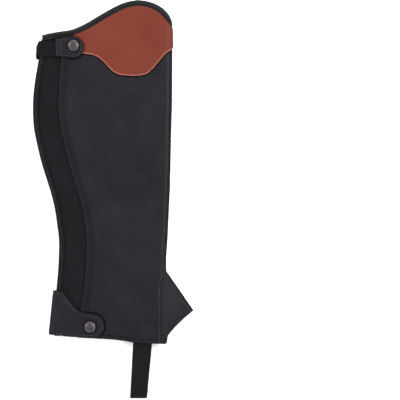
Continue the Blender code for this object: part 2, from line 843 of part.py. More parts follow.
def make_snap(name, x, y, form, metal):
    """A domed cap with a rolled rim and a shallow dish in its middle."""
    base = max(form(x + reach, y).z for reach in (-SNAP_RADIUS, 0, SNAP_RADIUS)) + TAB / 2 + GAP
    sides = 24
    points = [(x, y, base)]
    for cap in CAP_RINGS:
        for i in range(sides):
            turn = 2 * math.pi * i / sides
            points.append((x + SNAP_RADIUS * cap.radius * math.cos(turn),
                           y + SNAP_RADIUS * cap.radius * math.sin(turn),
                           base + SNAP_HEIGHT * cap.height))
    points.append((x, y, base + SNAP_HEIGHT * CAP_MIDDLE))
    faces = [(0, 1 + (i + 1) % sides, 1 + i) for i in range(sides)]
    for r in range(len(CAP_RINGS) - 1):
        for i in range(sides):
            a = 1 + r * sides + i
            b = 1 + r * sides + (i + 1) % sides
            faces.append((a, b, b + sides, a + sides))
    first = 1 + (len(CAP_RINGS) - 1) * sides
    faces += [(first + i, first + (i + 1) % sides, len(points) - 1) for i in range(sides)]
    make_object(name, points, faces, metal)


def zip_middle(up):
    """The height of the zip's middle, between its two tapes."""
    return (thick(up) - FACE + TAPE_HIGH - TAPE / 2 + TAPE_FLOOR + TAPE / 2) / 2


def make_zip_tape(name, side, tape):
    """One tape: a flange under the leather's edge, turned across the gap to the chain."""
    rings = []
    count = 26
    low = hem_out(-75.0) + 2.0
    for i in range(count + 1):
        up = low + (ZIP_TOP - low) * i / count
        if side > 0:
            flange = thick(up) - FACE + TAPE_HIGH - TAPE / 2
        else:
            flange = TAPE_FLOOR + TAPE / 2
        stop = zip_middle(up) + side * (CHAIN_WIDTH / 2 + GAP)
        h = side * TAPE / 2
        section = [(corner.reach, flange + corner.level * h) for corner in TAPE_CORNERS[:4]]
        section += [(ZIP_INSET + TAPE / 2, stop), (ZIP_INSET - TAPE / 2, stop)]
        section += [(corner.reach, flange + corner.level * h) for corner in TAPE_CORNERS[4:]]
        rings.append([Vector((back(up) + reach, up, z)) for reach, z in section])
    sweep(name, rings, tape)


def make_chain(name, low, high, width, thickness, material):
    """A bar with bevelled edges that follows the zip."""
    rings = []
    count = max(int((high - low) / 14), 1)
    for i in range(count + 1):
        up = low + (high - low) * i / count
        w, t, b = width / 2, thickness / 2, thickness / 5
        section = ((-t, -w + b), (-t, w - b), (-t + b, w), (t - b, w),
                   (t, w - b), (t, -w + b), (t - b, -w), (-t + b, -w))
        rings.append([Vector((back(up) + ZIP_INSET + x, up, zip_middle(up) + z)) for x, z in section])
    sweep(name, rings, material)


def zip_frame():
    """Where the slider stands: its middle, the way down the zip and the way into the leg."""
    slope = (back(SLIDER_Y + 1) - back(SLIDER_Y - 1)) / 2
    along = Vector((slope, 1, 0)).normalized()
    inward = Vector((along.y, -along.x, 0))
    centre = Vector((back(SLIDER_Y) + ZIP_INSET, SLIDER_Y, zip_middle(SLIDER_Y)))
    return centre, along, inward


def extruded(name, outline, half_width, origin, x_axis, y_axis, material):
    """A flat outline in two directions, given a width along their normal, with its origin set."""
    z_axis = x_axis.cross(y_axis)
    count = len(outline)
    points = []
    for side in (-1, 1):
        points += [x_axis * x + y_axis * y + z_axis * side * half_width for x, y in outline]
    faces = [tuple(reversed(range(count))), tuple(range(count, 2 * count))]
    for i in range(count):
        j = (i + 1) % count
        faces.append((i, j, j + count, i + count))
    thing = make_object(name, points, faces, material)
    thing.location = origin * MM
    work = bmesh.new()
    work.from_mesh(thing.data)
    bmesh.ops.recalc_face_normals(work, faces=work.faces)
    work.to_mesh(thing.data)
    work.free()
    return thing


def boolean(thing, helper, operation):
    modifier = thing.modifiers.new(operation.lower(), "BOOLEAN")
    modifier.operation = operation
    modifier.object = helper
    helper.hide_render = True
    helper.display_type = "WIRE"


def make_slider(metal):
    """Two plates joined by a post between the tapes, with an arch for the pull."""
    centre, along, inward = zip_frame()
    across = inward.cross(along)
    plate, post, inner, outer, edge = 3.6, 2.2, 0.9, SLIDER_PLATE, 3.1
    section = ((-outer, -edge), (-outer, edge), (-outer + 0.5, plate), (-inner, plate), (-inner, post),
               (inner, post), (inner, plate), (outer - 0.5, plate), (outer, edge),
               (outer, -edge), (outer - 0.5, -plate), (inner, -plate), (inner, -post),
               (-inner, -post), (-inner, -plate), (-outer + 0.5, -plate))
    slider = extruded("zip_slider", section, SLIDER_HALF, centre, inward, -across, metal)
    top = -(outer + PULL_OFF + 1.6)
    foot = -outer + ARCH_SINK
    shoulder = ARCH_CROWN + ARCH_BEVEL
    inner_foot = ARCH_CROWN - ARCH_SINK + 0.1
    inner_crown = ARCH_CROWN - ARCH_BEVEL + 0.1
    side = ((foot, ARCH_FOOT), (top + ARCH_BEVEL, shoulder), (top, ARCH_CROWN))
    hole = ((top + ARCH_WALL, inner_crown), (foot, inner_foot))
    arch = [(x, -y) for x, y in side] + [(x, y) for x, y in reversed(side)]
    arch += [(x, y) for x, y in reversed(hole)] + [(x, -y) for x, y in hole]
    crown = extruded("slider_crown", arch, ARCH_HALF, centre, inward, along, metal)
    boolean(slider, crown, "UNION")


def make_pull(metal):
    """A flat tab with a window: the window's top bar turns in the slider's arch."""
    centre, along, inward = zip_frame()
    axis = centre - inward * (SLIDER_PLATE + PULL_OFF)
    across = inward.cross(along)
    half = PULL_THICK / 2
    side = ((PULL_HALF - 0.3, half), (PULL_HALF, -1.0), (PULL_HALF, -PULL_LENGTH + PULL_TAPER),
            (PULL_TIP_HALF, -PULL_LENGTH))
    outline = list(side) + [(-x, y) for x, y in reversed(side)]
    pull = extruded("zip_pull", outline, half, axis, across, along, metal)
    window = ((-WINDOW_HALF, -half), (WINDOW_HALF, -half),
              (WINDOW_HALF, WINDOW_END), (-WINDOW_HALF, WINDOW_END))
    hole = extruded("pull_window", window, PULL_HALF, axis, across, along, metal)
    boolean(pull, hole, "DIFFERENCE")


def make_stirrup(elastic):
    """The loop under the boot: a flat band through the side view's stations."""
    stations = [Vector((row.up, row.z, 0)) for row in LOOP]
    rings = []
    for i, place in enumerate(stations):
        ahead = stations[min(i + 1, len(stations) - 1)] - stations[max(i - 1, 0)]
        ahead.normalize()
        normal = Vector((-ahead.y, ahead.x, 0)) * STIRRUP / 2
        down = (STIRRUP_TOP - place.x) / (STIRRUP_TOP - LOOP_END)
        centre = STIRRUP_X + (STIRRUP_LEAN * down)
        half = (STIRRUP_WIDTH - STIRRUP_TAPER * down) / 2
        ring = []
        for x, sign in ((-half, 1), (half, 1), (half, -1), (-half, -1)):
            spot = place + normal * sign
            ring.append(Vector((centre + x, spot.x, spot.y)))
        rings.append(ring)
    sweep("stirrup_strap", rings, elastic)


def stand_on_origin():
    """Moves everything together, so that the origin is under the middle of the whole part."""
    bpy.context.view_layer.update()
    corners = []
    for thing in bpy.data.objects:
        if not thing.hide_render:
            corners += [thing.matrix_world @ Vector(corner) for corner in thing.bound_box]
    low = Vector([min(c[k] for c in corners) for k in range(3)])
    high = Vector([max(c[k] for c in corners) for k in range(3)])
    shift = Vector(((low.x + high.x) / 2, (low.y + high.y) / 2, low.z))
    for thing in bpy.data.objects:
        thing.location -= shift


def main():
    for thing in list(bpy.data.objects):
        bpy.data.objects.remove(thing, do_unlink=True)
    leather = finish("black_grain_leather", (0.028, 0.027, 0.033), 0.55)
    brown = finish("brown_leather", (0.26, 0.061, 0.04), 0.42)
    binding = finish("binding_leather", (0.022, 0.021, 0.026), 0.5)
    elastic = finish("black_elastic", (0.017, 0.016, 0.02), 0.85)
    tape = finish("zip_tape", (0.015, 0.015, 0.017), 0.9)
    metal = finish("gunmetal", (0.16, 0.155, 0.15), 0.38, 0.9)

    grid = leg_grid(15.0, 8, 11)
    make_outer_panel(leather, grid)
    make_inner_panel(leather)
    make_elastic_panel(elastic, grid)
    make_back_strip(leather)
    make_spanish_top(brown, leg_grid(7.0, 11, 11))
    make_top_binding(binding)
    make_instep_gusset(leather)
    make_zip_tape("zip_tape_outer", 1, tape)
    make_zip_tape("zip_tape_inner", -1, tape)
    make_chain("zip_chain", CHAIN_LOW, SLIDER_Y - SLIDER_HALF - GAP, CHAIN_WIDTH, CHAIN_THICK, tape)
    make_chain("zip_box", CHAIN_LOW - GAP - BOX_LONG, CHAIN_LOW - GAP, CHAIN_WIDTH, BOX_THICK, metal)
    make_slider(metal)
    make_pull(metal)
    make_top_strap(elastic)
    make_snap("top_snap", TOP_SNAP_X, TOP_SNAP_Y, make_top_tab(leather), metal)
    make_snap("lower_snap", LOWER_SNAP_X, LOWER_SNAP_Y, make_lower_tab(leather), metal)
    make_stirrup(elastic)
    stand_on_origin()


main()
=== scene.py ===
# %% [markdown]
# # A half chap, laid flat
#
# A half chap is a leather tube that a rider zips round the calf, over a short boot. This one lies
# on its inner side, with its outer side up. Its solids are already made: they come in as a fixed
# frame. This lesson dresses that frame: each piece of leather and elastic is cut again as a flat
# pattern, finer than the solid, bent round the same form, and given its grain, its rolled edges
# and its stitches.

# %% Load the fixed frame
import math
from collections import namedtuple

import bpy
import bmesh
import numpy as np
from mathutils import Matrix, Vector
from mathutils.geometry import delaunay_2d_cdt


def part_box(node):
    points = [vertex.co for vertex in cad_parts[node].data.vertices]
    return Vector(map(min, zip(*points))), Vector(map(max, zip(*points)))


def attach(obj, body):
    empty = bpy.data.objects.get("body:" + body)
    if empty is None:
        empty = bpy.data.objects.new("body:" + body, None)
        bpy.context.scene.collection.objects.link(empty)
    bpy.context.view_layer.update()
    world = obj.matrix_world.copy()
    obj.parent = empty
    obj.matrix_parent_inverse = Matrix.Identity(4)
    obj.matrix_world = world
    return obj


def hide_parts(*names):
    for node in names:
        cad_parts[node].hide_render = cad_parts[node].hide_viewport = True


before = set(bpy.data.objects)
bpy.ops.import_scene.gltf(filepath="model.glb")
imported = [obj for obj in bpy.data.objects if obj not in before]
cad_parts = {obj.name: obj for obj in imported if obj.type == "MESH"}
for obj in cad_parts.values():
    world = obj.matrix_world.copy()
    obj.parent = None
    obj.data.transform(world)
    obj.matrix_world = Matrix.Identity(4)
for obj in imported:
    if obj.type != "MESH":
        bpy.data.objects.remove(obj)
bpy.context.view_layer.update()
print("solids:", ", ".join(sorted(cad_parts)))

# %% [markdown]
# ## Sizes
#
# A maker works in millimetres, and so do the sizes below; a mesh is scaled to metres only when it
# is made. The walls' thicknesses and levels are the same as the solids', because a dressed piece
# has to lie exactly where its solid lies. `SHIFT` comes from the frame itself: it is how far the
# pattern's own zero lies from the frame's origin.

# %% Sizes, in millimetres
MM = 0.001
GAP = 0.3  # between two layers that lie on each other
LEATHER, OVERLAY, ELASTIC, STRAP, TAB, STIRRUP, TAPE = 1.8, 1.0, 1.2, 1.6, 2.0, 1.5, 1.0  # walls
HEM_TURN = 145.0  # the hem runs on underneath, mirrored about half of this
FOLD_REACH = 7.0  # the front fold is half an ellipse that reaches this far
SAG = 1.6
BINDING_WIDTH, BINDING_HALF = 7.0, 2.15
STRIP_WIDTH = 6.5
SEAM_LAP = 8.0
UNDER_WRAP = 14.0  # how far the outer panel runs on past the fold
GUSSET_TOP, GUSSET_SHOULDER, GUSSET_LOW = -91.0, -116.0, -184.5
GUSSET_TIP = (102.5, -142.2)
GUSSET_FOLD = 3.5
TAB_TOP = -116.0
TAB_ROOT = 8.0  # how far the tabs and the strap run back underneath
TAB_LEFT = -73.5
ZIP_INSET = 5.0
ZIP_TOP = 182.0
STRAP_LOW, STRAP_HIGH, STRAP_END = 184.2, 203.2, -62.0
STRAP_DROP = 4.2

# Levels above the outer panel's middle layer
FACE = LEATHER / 2
OVERLAY_LOW = FACE + 1.5 * GAP
OVERLAY_HIGH = OVERLAY_LOW + OVERLAY
ELASTIC_HIGH = -FACE - GAP
ELASTIC_LOW = ELASTIC_HIGH - ELASTIC
TAPE_HIGH = ELASTIC_LOW - GAP

snap_low, snap_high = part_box("top_snap")
SNAP = (-50.4, 197.5)
SHIFT = Vector(((snap_low.x + snap_high.x) / 2 / MM - SNAP[0],
                (snap_low.y + snap_high.y) / 2 / MM - SNAP[1], 0))
print(f"the pattern's zero lies at {SHIFT.x:.2f}, {SHIFT.y:.2f} mm in the frame")

# %% [markdown]
# ## Tables
#
# The outline is described by a few short tables, each row a station with named columns. `LEG`
# holds cross-sections from the hem to the mouth: where the back edge, the elastic's seam and the
# front fold are, and how thick the flattened leg is. A smooth curve through the rows gives every
# value between them, so that the fine patterns below need no more numbers than the solids did.

# %% Tables of stations
def table(columns, *rows):
    """Rows with named columns."""
    Row = namedtuple("Row", columns)
    return [Row(*row) for row in rows]


LEG = table("up back seam front thick",
    (-190.0, -75.2, -46.5, 69.3, 15.6), (-150.0, -73.9, -43.0, 69.3, 15.8),
    (-116.0, -72.3, -37.8, 69.2, 16.0), (-91.0, -70.2, -35.2, 68.3, 16.2),
    (-72.0, -69.2, -34.2, 68.4, 16.4), (-52.0, -69.0, -33.8, 69.8, 16.6),
    (-31.0, -71.3, -35.8, 70.8, 16.9), (-11.0, -74.4, -39.2, 71.7, 17.2),
    (10.0, -79.4, -45.0, 72.8, 17.5), (30.0, -85.8, -51.5, 73.4, 17.8),
    (50.0, -91.8, -57.0, 73.9, 18.0), (71.0, -96.9, -62.4, 74.3, 18.0),
    (91.0, -100.8, -67.0, 74.8, 18.0), (112.0, -102.2, -69.6, 75.4, 18.0),
    (132.0, -101.8, -69.6, 75.8, 18.0), (153.0, -99.4, -68.4, 75.9, 17.8),
    (178.0, -95.2, -66.6, 76.1, 17.5), (200.0, -92.0, -66.0, 75.9, 17.2),
    (260.0, -86.0, -66.0, 75.5, 17.0))
MOUTH = table("across up",
    (-90.6, 210.8), (-82.0, 213.0), (-67.0, 215.6), (-52.0, 218.0), (-41.5, 222.4), (-31.0, 227.7),
    (-16.0, 236.8), (0.0, 245.8), (10.0, 250.7), (20.0, 254.0), (34.0, 255.8), (51.0, 252.3),
    (61.0, 247.3), (66.0, 243.5), (71.5, 237.4), (77.4, 229.6), (84.0, 223.6), (93.0, 220.4),
    (130.0, 217.8), (249.5, 211.5))
HEM = table("across up",
    (-82.0, -173.4), (-57.0, -175.7), (-16.0, -177.9), (2.0, -179.1), (14.0, -180.6),
    (24.0, -182.4), (34.0, -183.5), (70.0, -184.6))
SCALLOP = table("across up",  # the lower edge of the knee overlay
    (-47.0, 188.6), (-33.5, 186.7), (-26.0, 185.6), (-18.5, 182.2), (-11.0, 175.8), (-3.0, 167.1),
    (5.0, 161.6), (15.0, 159.3), (34.0, 159.2), (43.0, 161.3), (51.0, 167.9), (60.0, 178.4),
    (67.5, 187.0), (77.0, 194.0), (85.5, 197.0))
TAB_EDGE = table("across up",  # the upper edge of the lower tab
    (-76.0, -116.0), (-70.5, -116.6), (-63.0, -119.6), (-54.5, -130.8), (-46.5, -139.8),
    (-38.5, -143.8), (-25.5, -146.0))
FLARE = table("share x y",  # how far the flare's hem strays from a straight line
    (0.0, 0.0, 0.0), (0.12, 1.7, -5.0), (0.26, -2.9, -0.8), (0.5, -2.9, 0.6), (0.75, -2.0, 0.3),
    (1.0, 0.0, 0.0))
LOOP = table("up z",  # the stirrup, seen from the side
    (-152.0, 12.0), (-168.0, 12.0), (-184.0, 11.9), (-198.0, 11.2), (-212.0, 9.6), (-226.0, 7.9),
    (-238.0, 6.8), (-247.0, 6.1), (-251.5, 5.2), (-253.8, 3.4), (-252.4, 1.5), (-249.0, 0.8),
    (-236.0, 0.8), (-220.0, 0.8), (-204.0, 0.8), (-195.0, 1.5), (-187.5, 2.8), (-178.0, 2.9),
    (-166.0, 2.9), (-152.0, 2.9))
print(len(LEG), "sections of the leg,", len(MOUTH), "stations of the mouth")

# %% [markdown]
# ## The form
#
# `middle` is the heart of the lesson. It takes a place on the flat pattern, `across` the leather
# and `up` the leg, and says where that place lies in space once the leather is bent round the
# flattened leg: over the outer side, round the front fold, and back along the underside. One
# function for the form keeps every layer parallel to every other. The soft creases of worn
# leather are added here too, so that the overlay, the tabs and the stitches follow them.

# %% Smooth curves through the tables
def spline(rows, along, value):
    """A smooth function through one column of a table, against another."""
    xs = [getattr(row, along) for row in rows]
    ys = [getattr(row, value) for row in rows]
    last = len(xs) - 1
    slopes = []
    for i in range(last + 1):
        a, b = max(i - 1, 0), min(i + 1, last)
        slopes.append((ys[b] - ys[a]) / (xs[b] - xs[a]))

    def read(x):
        x = min(max(x, xs[0]), xs[-1])
        i = 0
        while i < last - 1 and x > xs[i + 1]:
            i += 1
        step = xs[i + 1] - xs[i]
        t = (x - xs[i]) / step
        start = ys[i] * (1 + 2 * t) * (1 - t) ** 2 + slopes[i] * step * t * (1 - t) ** 2
        end = ys[i + 1] * (3 - 2 * t) * t * t - slopes[i + 1] * step * t * t * (1 - t)
        return start + end

    return read


def ease(x, low, high):
    """0 below low, 1 above high, smooth between."""
    t = min(max((x - low) / (high - low), 0.0), 1.0)
    return t * t * (3 - 2 * t)


back, seam, front, thick = [spline(LEG, "up", name) for name in ("back", "seam", "front", "thick")]
mouth, hem_out, scallop, tab_edge = [spline(rows, "across", "up")
                                     for rows in (MOUTH, HEM, SCALLOP, TAB_EDGE)]
print(f"flat calf width {front(112) - back(112):.0f} mm, ankle {front(-150) - back(-150):.0f} mm")

# %% Creases and dents, each a soft trough or ridge, listed one by one
CREASES = table("across up turn long wide rise",
    (44.0, 37.0, 6.0, 24.0, 3.4, -0.40), (22.0, 29.0, -8.0, 15.0, 3.0, -0.22),
    (9.0, -123.0, 15.0, 13.0, 7.0, -0.55), (-8.0, -108.0, -20.0, 16.0, 8.0, 0.35),
    (56.0, -30.0, 12.0, 14.0, 2.6, -0.45), (58.0, -52.0, -6.0, 10.0, 2.4, -0.35),
    (-30.0, 120.0, 60.0, 34.0, 14.0, 0.45), (24.0, 96.0, 80.0, 42.0, 18.0, -0.50),
    (8.0, -40.0, 85.0, 46.0, 15.0, 0.40), (36.0, -88.0, 70.0, 26.0, 10.0, 0.30),
    (-35.0, -137.5, 78.0, 5.0, 3.0, -0.9), (-67.0, -155.0, 3.0, 7.0, 1.3, -0.22),
    (-65.5, -159.4, -2.0, 8.0, 1.2, -0.20), (-64.0, -166.0, 1.0, 9.0, 1.4, -0.26),
    (150.0, 20.0, 10.0, 30.0, 6.0, -0.60), (170.0, -90.0, -12.0, 22.0, 5.0, -0.50),
    (120.0, 120.0, 70.0, 40.0, 12.0, -0.70), (200.0, 100.0, -30.0, 24.0, 9.0, -0.50))


def worn(across, up):
    """How far the leather stands out of its plain form here."""
    total = 0.0
    for crease in CREASES:
        dx = across - crease.across
        dy = up - crease.up
        if abs(dx) + abs(dy) > 3 * (crease.long + crease.wide):
            continue
        turn = math.radians(crease.turn)
        a = (dx * math.cos(turn) + dy * math.sin(turn)) / crease.long
        b = (dy * math.cos(turn) - dx * math.sin(turn)) / crease.wide
        total += crease.rise * math.exp(-a * a - b * b)
    return total

# %% The bent form
def fold_start(up):
    return front(up) - FOLD_REACH


def fold_length(up):
    """Half an ellipse, by Ramanujan's rule, along the wall's middle."""
    a = FOLD_REACH - FACE
    b = thick(up) / 2 - FACE
    return math.pi / 2 * (3 * (a + b) - math.sqrt((3 * a + b) * (a + 3 * b)))


def fold_end(up):
    return fold_start(up) + fold_length(up)


def under(up, x):
    """The across value of a place on the underside."""
    return fold_end(up) + fold_start(up) - x


def hem(across):
    return hem_out(across if across < fold_start(GUSSET_TOP) else HEM_TURN - across)


def middle(across, up):
    """The leg form's middle layer, before any piece is moved out from it."""
    start = fold_start(up)
    length = fold_length(up)
    top = thick(up) - FACE
    rise = worn(across, up)
    if across <= start:
        share = (across - back(up)) / (start - back(up))
        dip = SAG * math.sin(math.pi * min(max(share, 0.0), 1.0)) ** 2
        return Vector((across, up, top - dip + rise))
    if across >= start + length:
        return Vector((2 * start + length - across, up, FACE - min(rise, 0.0)))
    turn = math.pi * (across - start) / length
    reach = FOLD_REACH - FACE
    height = (top - FACE) / 2
    return Vector((start + reach * math.sin(turn), up,
                   FACE + height * (1 + math.cos(turn)) + rise * max(math.cos(turn), 0.0)))


def place_and_normal(across, up, form=middle):
    step = 0.05
    d_across = form(across + step, up) - form(across - step, up)
    d_up = form(across, up + step) - form(across, up - step)
    return form(across, up), d_across.cross(d_up).normalized()


def lifted(across, up, lift, form=middle):
    """A place moved out from a form along its normal."""
    place, normal = place_and_normal(across, up, form)
    return place + normal * lift


print(f"the mouth's peak lies at {tuple(round(v) for v in middle(34.0, mouth(34.0)))} mm")

# %% [markdown]
# ## Cutting a piece
#
# A piece of leather could be modelled by pushing a grid about, but a maker cuts an outline and
# bends it. `cut` does the same. It fills an outline with a grid of points, joins them into
# triangles with Blender's own Delaunay triangulation, bends every point round the form, and
# closes the wall with a second layer and a rounded rim. It also keeps the flat pattern as the
# piece's UV map, so that grain, ribs and stitches follow the cloth round every fold. A stitch row
# presses a shallow groove, so the grid gets extra points along it.

# %% Helpers for outlines
def path(start, end, count, across_of, up_of):
    """Points of one pattern edge, without its last."""
    stops = [start + (end - start) * i / count for i in range(count)]
    return [(across_of(t), up_of(t)) for t in stops]


def same(value):
    return lambda _: value


def itself(value):
    return value


def shifted(edge, distance):
    """An edge function moved by a fixed distance."""
    return lambda t: edge(t) + distance


def in_from_mouth(across, inset):
    """A place set in squarely from the mouth, and the mouth's length per step there."""
    slope = mouth(across + 0.5) - mouth(across - 0.5)
    long = math.hypot(1.0, slope)
    return (across + inset * slope / long, mouth(across) - inset / long), long


def mouth_edge(start, end, count, inset):
    """The mouth's line set in, without its last point."""
    return [in_from_mouth(start + (end - start) * i / count, inset)[0] for i in range(count)]


def headings(steps):
    """Directions to the left of each step along a line."""
    steps = steps / np.maximum(np.linalg.norm(steps, axis=1)[:, None], 1e-9)
    return np.stack([-steps[:, 1], steps[:, 0]], 1)


def beside(points, distance):
    """A line of pattern points moved to its left by a distance."""
    line = np.array(points)
    return [tuple(p) for p in line + headings(np.gradient(line, axis=0)) * distance]


def moved(loop, distance):
    """A closed line of pattern points moved to its left, with its corners kept sharp."""
    line = np.asarray(loop, float)
    one, two = headings(line - np.roll(line, 1, 0)), headings(np.roll(line, -1, 0) - line)
    share = np.maximum(1 + (one * two).sum(1), 0.5)
    return line + (one + two) / share[:, None] * distance


def evenly(points, gap):
    """The same line with its points a fixed gap apart."""
    line = np.array(points)
    along = np.concatenate([[0], np.cumsum(np.linalg.norm(np.diff(line, axis=0), axis=1))])
    at = np.linspace(0, along[-1], max(int(along[-1] / gap), 2) + 1)
    return [tuple(p) for p in np.stack([np.interp(at, along, line[:, k]) for k in (0, 1)], 1)]

# %% Distances and round shapes
def distance_to(points, line, closed=False):
    """The distance of each point from a line of pattern points."""
    points = np.asarray(points, float)
    line = np.asarray(line, float)
    ends = np.roll(line, -1, 0) if closed else line[1:]
    best = np.full(len(points), 1e9)
    for a, b in zip(line, ends):
        run = b - a
        share = np.clip((points - a) @ run / max(run @ run, 1e-12), 0, 1)
        best = np.minimum(best, np.linalg.norm(points - a - share[:, None] * run, axis=1))
    return best


def within(points, outline):
    """Which points lie inside an outline."""
    points = np.asarray(points, float)
    found = np.zeros(len(points), bool)
    for (ax, ay), (bx, by) in zip(outline, outline[1:] + outline[:1]):
        if ay != by:
            crosses = (ay > points[:, 1]) != (by > points[:, 1])
            found ^= crosses & (points[:, 0] < ax + (points[:, 1] - ay) * (bx - ax) / (by - ay))
    return found


def ring_of(x, y, radius, turns):
    return [(x + radius * math.cos(t), y + radius * math.sin(t)) for t in turns]


def round_end(tab, grown, count):
    """Half a circle round a tab's end, from its top round its right to its bottom."""
    turns = [math.pi * (0.5 - i / count) for i in range(count)]
    return ring_of(tab.x, tab.y, tab.radius + grown, turns)


def cap_ring(node):
    """The circle just outside a press-stud's cap, on the pattern."""
    low, high = [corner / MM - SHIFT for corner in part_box(node)]
    centre = (low + high) / 2
    return ring_of(centre.x, centre.y, (high.x - low.x) / 2 + 0.6, np.linspace(0, 2 * math.pi, 33))


def section_ring(count, wide, tall, wide_power=1.0, tall_power=1.0):
    """A closed section between an ellipse and a box: (side, level) pairs round it."""
    found = []
    for k in range(count):
        turn = 2 * math.pi * k / count
        side, level = math.cos(turn), math.sin(turn)
        found.append((math.copysign(abs(side) ** wide_power, side) * wide,
                      math.copysign(abs(level) ** tall_power, level) * tall))
    return found

# %% The grid that every large piece is filled with
def leg_grid(row_gap, column_gap, fold_gap):
    """Pattern points on lines that follow the back edge and the front fold."""
    points = []
    for up in np.arange(-188.0, 258.0, row_gap):
        start, end = fold_start(up), fold_end(up)
        wide = start - back(up)
        flat = np.linspace(0, wide, int(wide / column_gap) + 1)
        fold = np.linspace(start, end, int((end - start) / fold_gap) + 1)
        points += [(across, up) for across in (*(back(up) + flat), *fold[1:], *(end + flat[1:]))]
    return points


def box_grid(left, right, low, high, gap):
    """Pattern points over a box."""
    xs, ys = [np.linspace(a, b, max(int((b - a) / gap), 1) + 1)[1:-1]
              for a, b in ((left, right), (low, high))]
    return [(x, y) for x in xs for y in ys]


fine_grid = leg_grid(4.0, 4.0, 1.3)
print(len(fine_grid), "points in the shared grid")

# %% Meshes in millimetres
SHADE_START, SHADE_SPAN = 0.86, 0.4  # how upright a point's normal is where the shade sets in
CLOTH_CREASE, METAL_CREASE = math.radians(50), math.radians(40)  # sharper edges stay sharp
UV_SCALE = 0.01  # the UV map holds the flat pattern in these units per millimetre


def linked(name, data):
    thing = bpy.data.objects.new(name, data)
    bpy.context.collection.objects.link(thing)
    return thing


def make_object(name, points, faces, material, flat=None, dim=(), bare=()):
    """A mesh object from millimetres; flat gives each point's place on the pattern.

    Its "shade" attribute is painted shade: it grows from 0 on level cloth to 1 where the cloth
    turns down, and dim adds more painted shade to that. Its "bare" attribute is 1 where a cut edge
    shows the pale middle of the hide.
    """
    mesh = bpy.data.meshes.new(name)
    mesh.from_pydata([(Vector(p) + SHIFT) * MM for p in points], [], faces)
    mesh.materials.append(material)
    mesh.shade_smooth()
    mesh.set_sharp_from_angle(angle=CLOTH_CREASE)
    if flat is not None:
        layer = mesh.uv_layers.new(name="UVMap")
        places = np.asarray(flat, np.float32) * UV_SCALE
        corners = np.empty(len(mesh.loops), np.int32)
        mesh.loops.foreach_get("vertex_index", corners)
        layer.data.foreach_set("uv", places[corners].ravel())
    normals = np.empty(len(points) * 3, np.float32)
    mesh.vertices.foreach_get("normal", normals)
    # painted shade, stronger the further the normal turns from upright
    turned = np.clip((SHADE_START - np.abs(normals[2::3])) / SHADE_SPAN, 0, 1)
    for key, values, marks in (("shade", turned, dim), ("bare", np.zeros_like(turned), bare)):
        values[:len(marks)] = np.maximum(values[:len(marks)], marks)
        mesh.attributes.new(key, "FLOAT", "POINT").data.foreach_set("value", values)
    return linked(name, mesh)


def tell_size(thing):
    print(f"{thing.name}: {sum(len(p.vertices) - 2 for p in thing.data.polygons)} triangles")

# %% Solid walls from flat patterns
STITCH_SIDES = (-1.4, -0.7, 0.0, 0.7, 1.4)  # extra grid lines along a stitch row
GROOVE = 0.75  # half the width of a stitch row's groove
ROW_STEP, ROW_CLEAR, RIM_CLEAR = 2.2, 0.6, 0.25  # gaps between points, round rows, at the rim
MARK_FADE = 1.4  # a mark is full near its line and fades to nothing at its width
BLANKS = {}  # the width, length and area of every sheet's flat cut, in millimetres


def boundary(triangles):
    """The outer loop of a set of triangles, in order."""
    edges = {(t[i], t[(i + 1) % 3]) for t in triangles for i in range(3)}
    after = {a: b for a, b in edges if (b, a) not in edges}
    loop = [next(iter(after))]
    while after[loop[-1]] != loop[0]:
        loop.append(after[loop[-1]])
    return loop


def bands(rings):
    """The four-sided faces between closed rings of point numbers."""
    faces = []
    for one, two in zip(rings, rings[1:]):
        one, two = list(one), list(two)
        faces += zip(one, one[1:] + one[:1], two[1:] + two[:1], two)
    return faces


def marked(flat, marks):
    """How strongly each pattern point is marked by lines that have a width and a strength."""
    found = [strength * np.clip(MARK_FADE - MARK_FADE * distance_to(flat, row) / width, 0, 1)
             for row, width, strength in marks]
    return np.max([np.zeros(len(flat))] + found, axis=0)


def filling(inner, grid, margin, lines):
    """Pattern points inside an outline: a grid that gives way to denser rows along some lines."""
    kept = np.array(grid, float).reshape(-1, 2)
    kept = kept[within(kept, inner)]
    kept = kept[distance_to(kept, inner, True) > margin] if len(kept) else kept
    added = []
    for row, sides in lines:
        kept = kept[distance_to(kept, row) > sides[-1] + ROW_CLEAR]
        for side in sides:
            added += beside(evenly(row, ROW_STEP), side)
    added = np.array(added, float).reshape(-1, 2)
    if len(added):
        added = added[within(added, inner)]
        added = added[distance_to(added, inner, True) > RIM_CLEAR]
    return [*kept, *added]


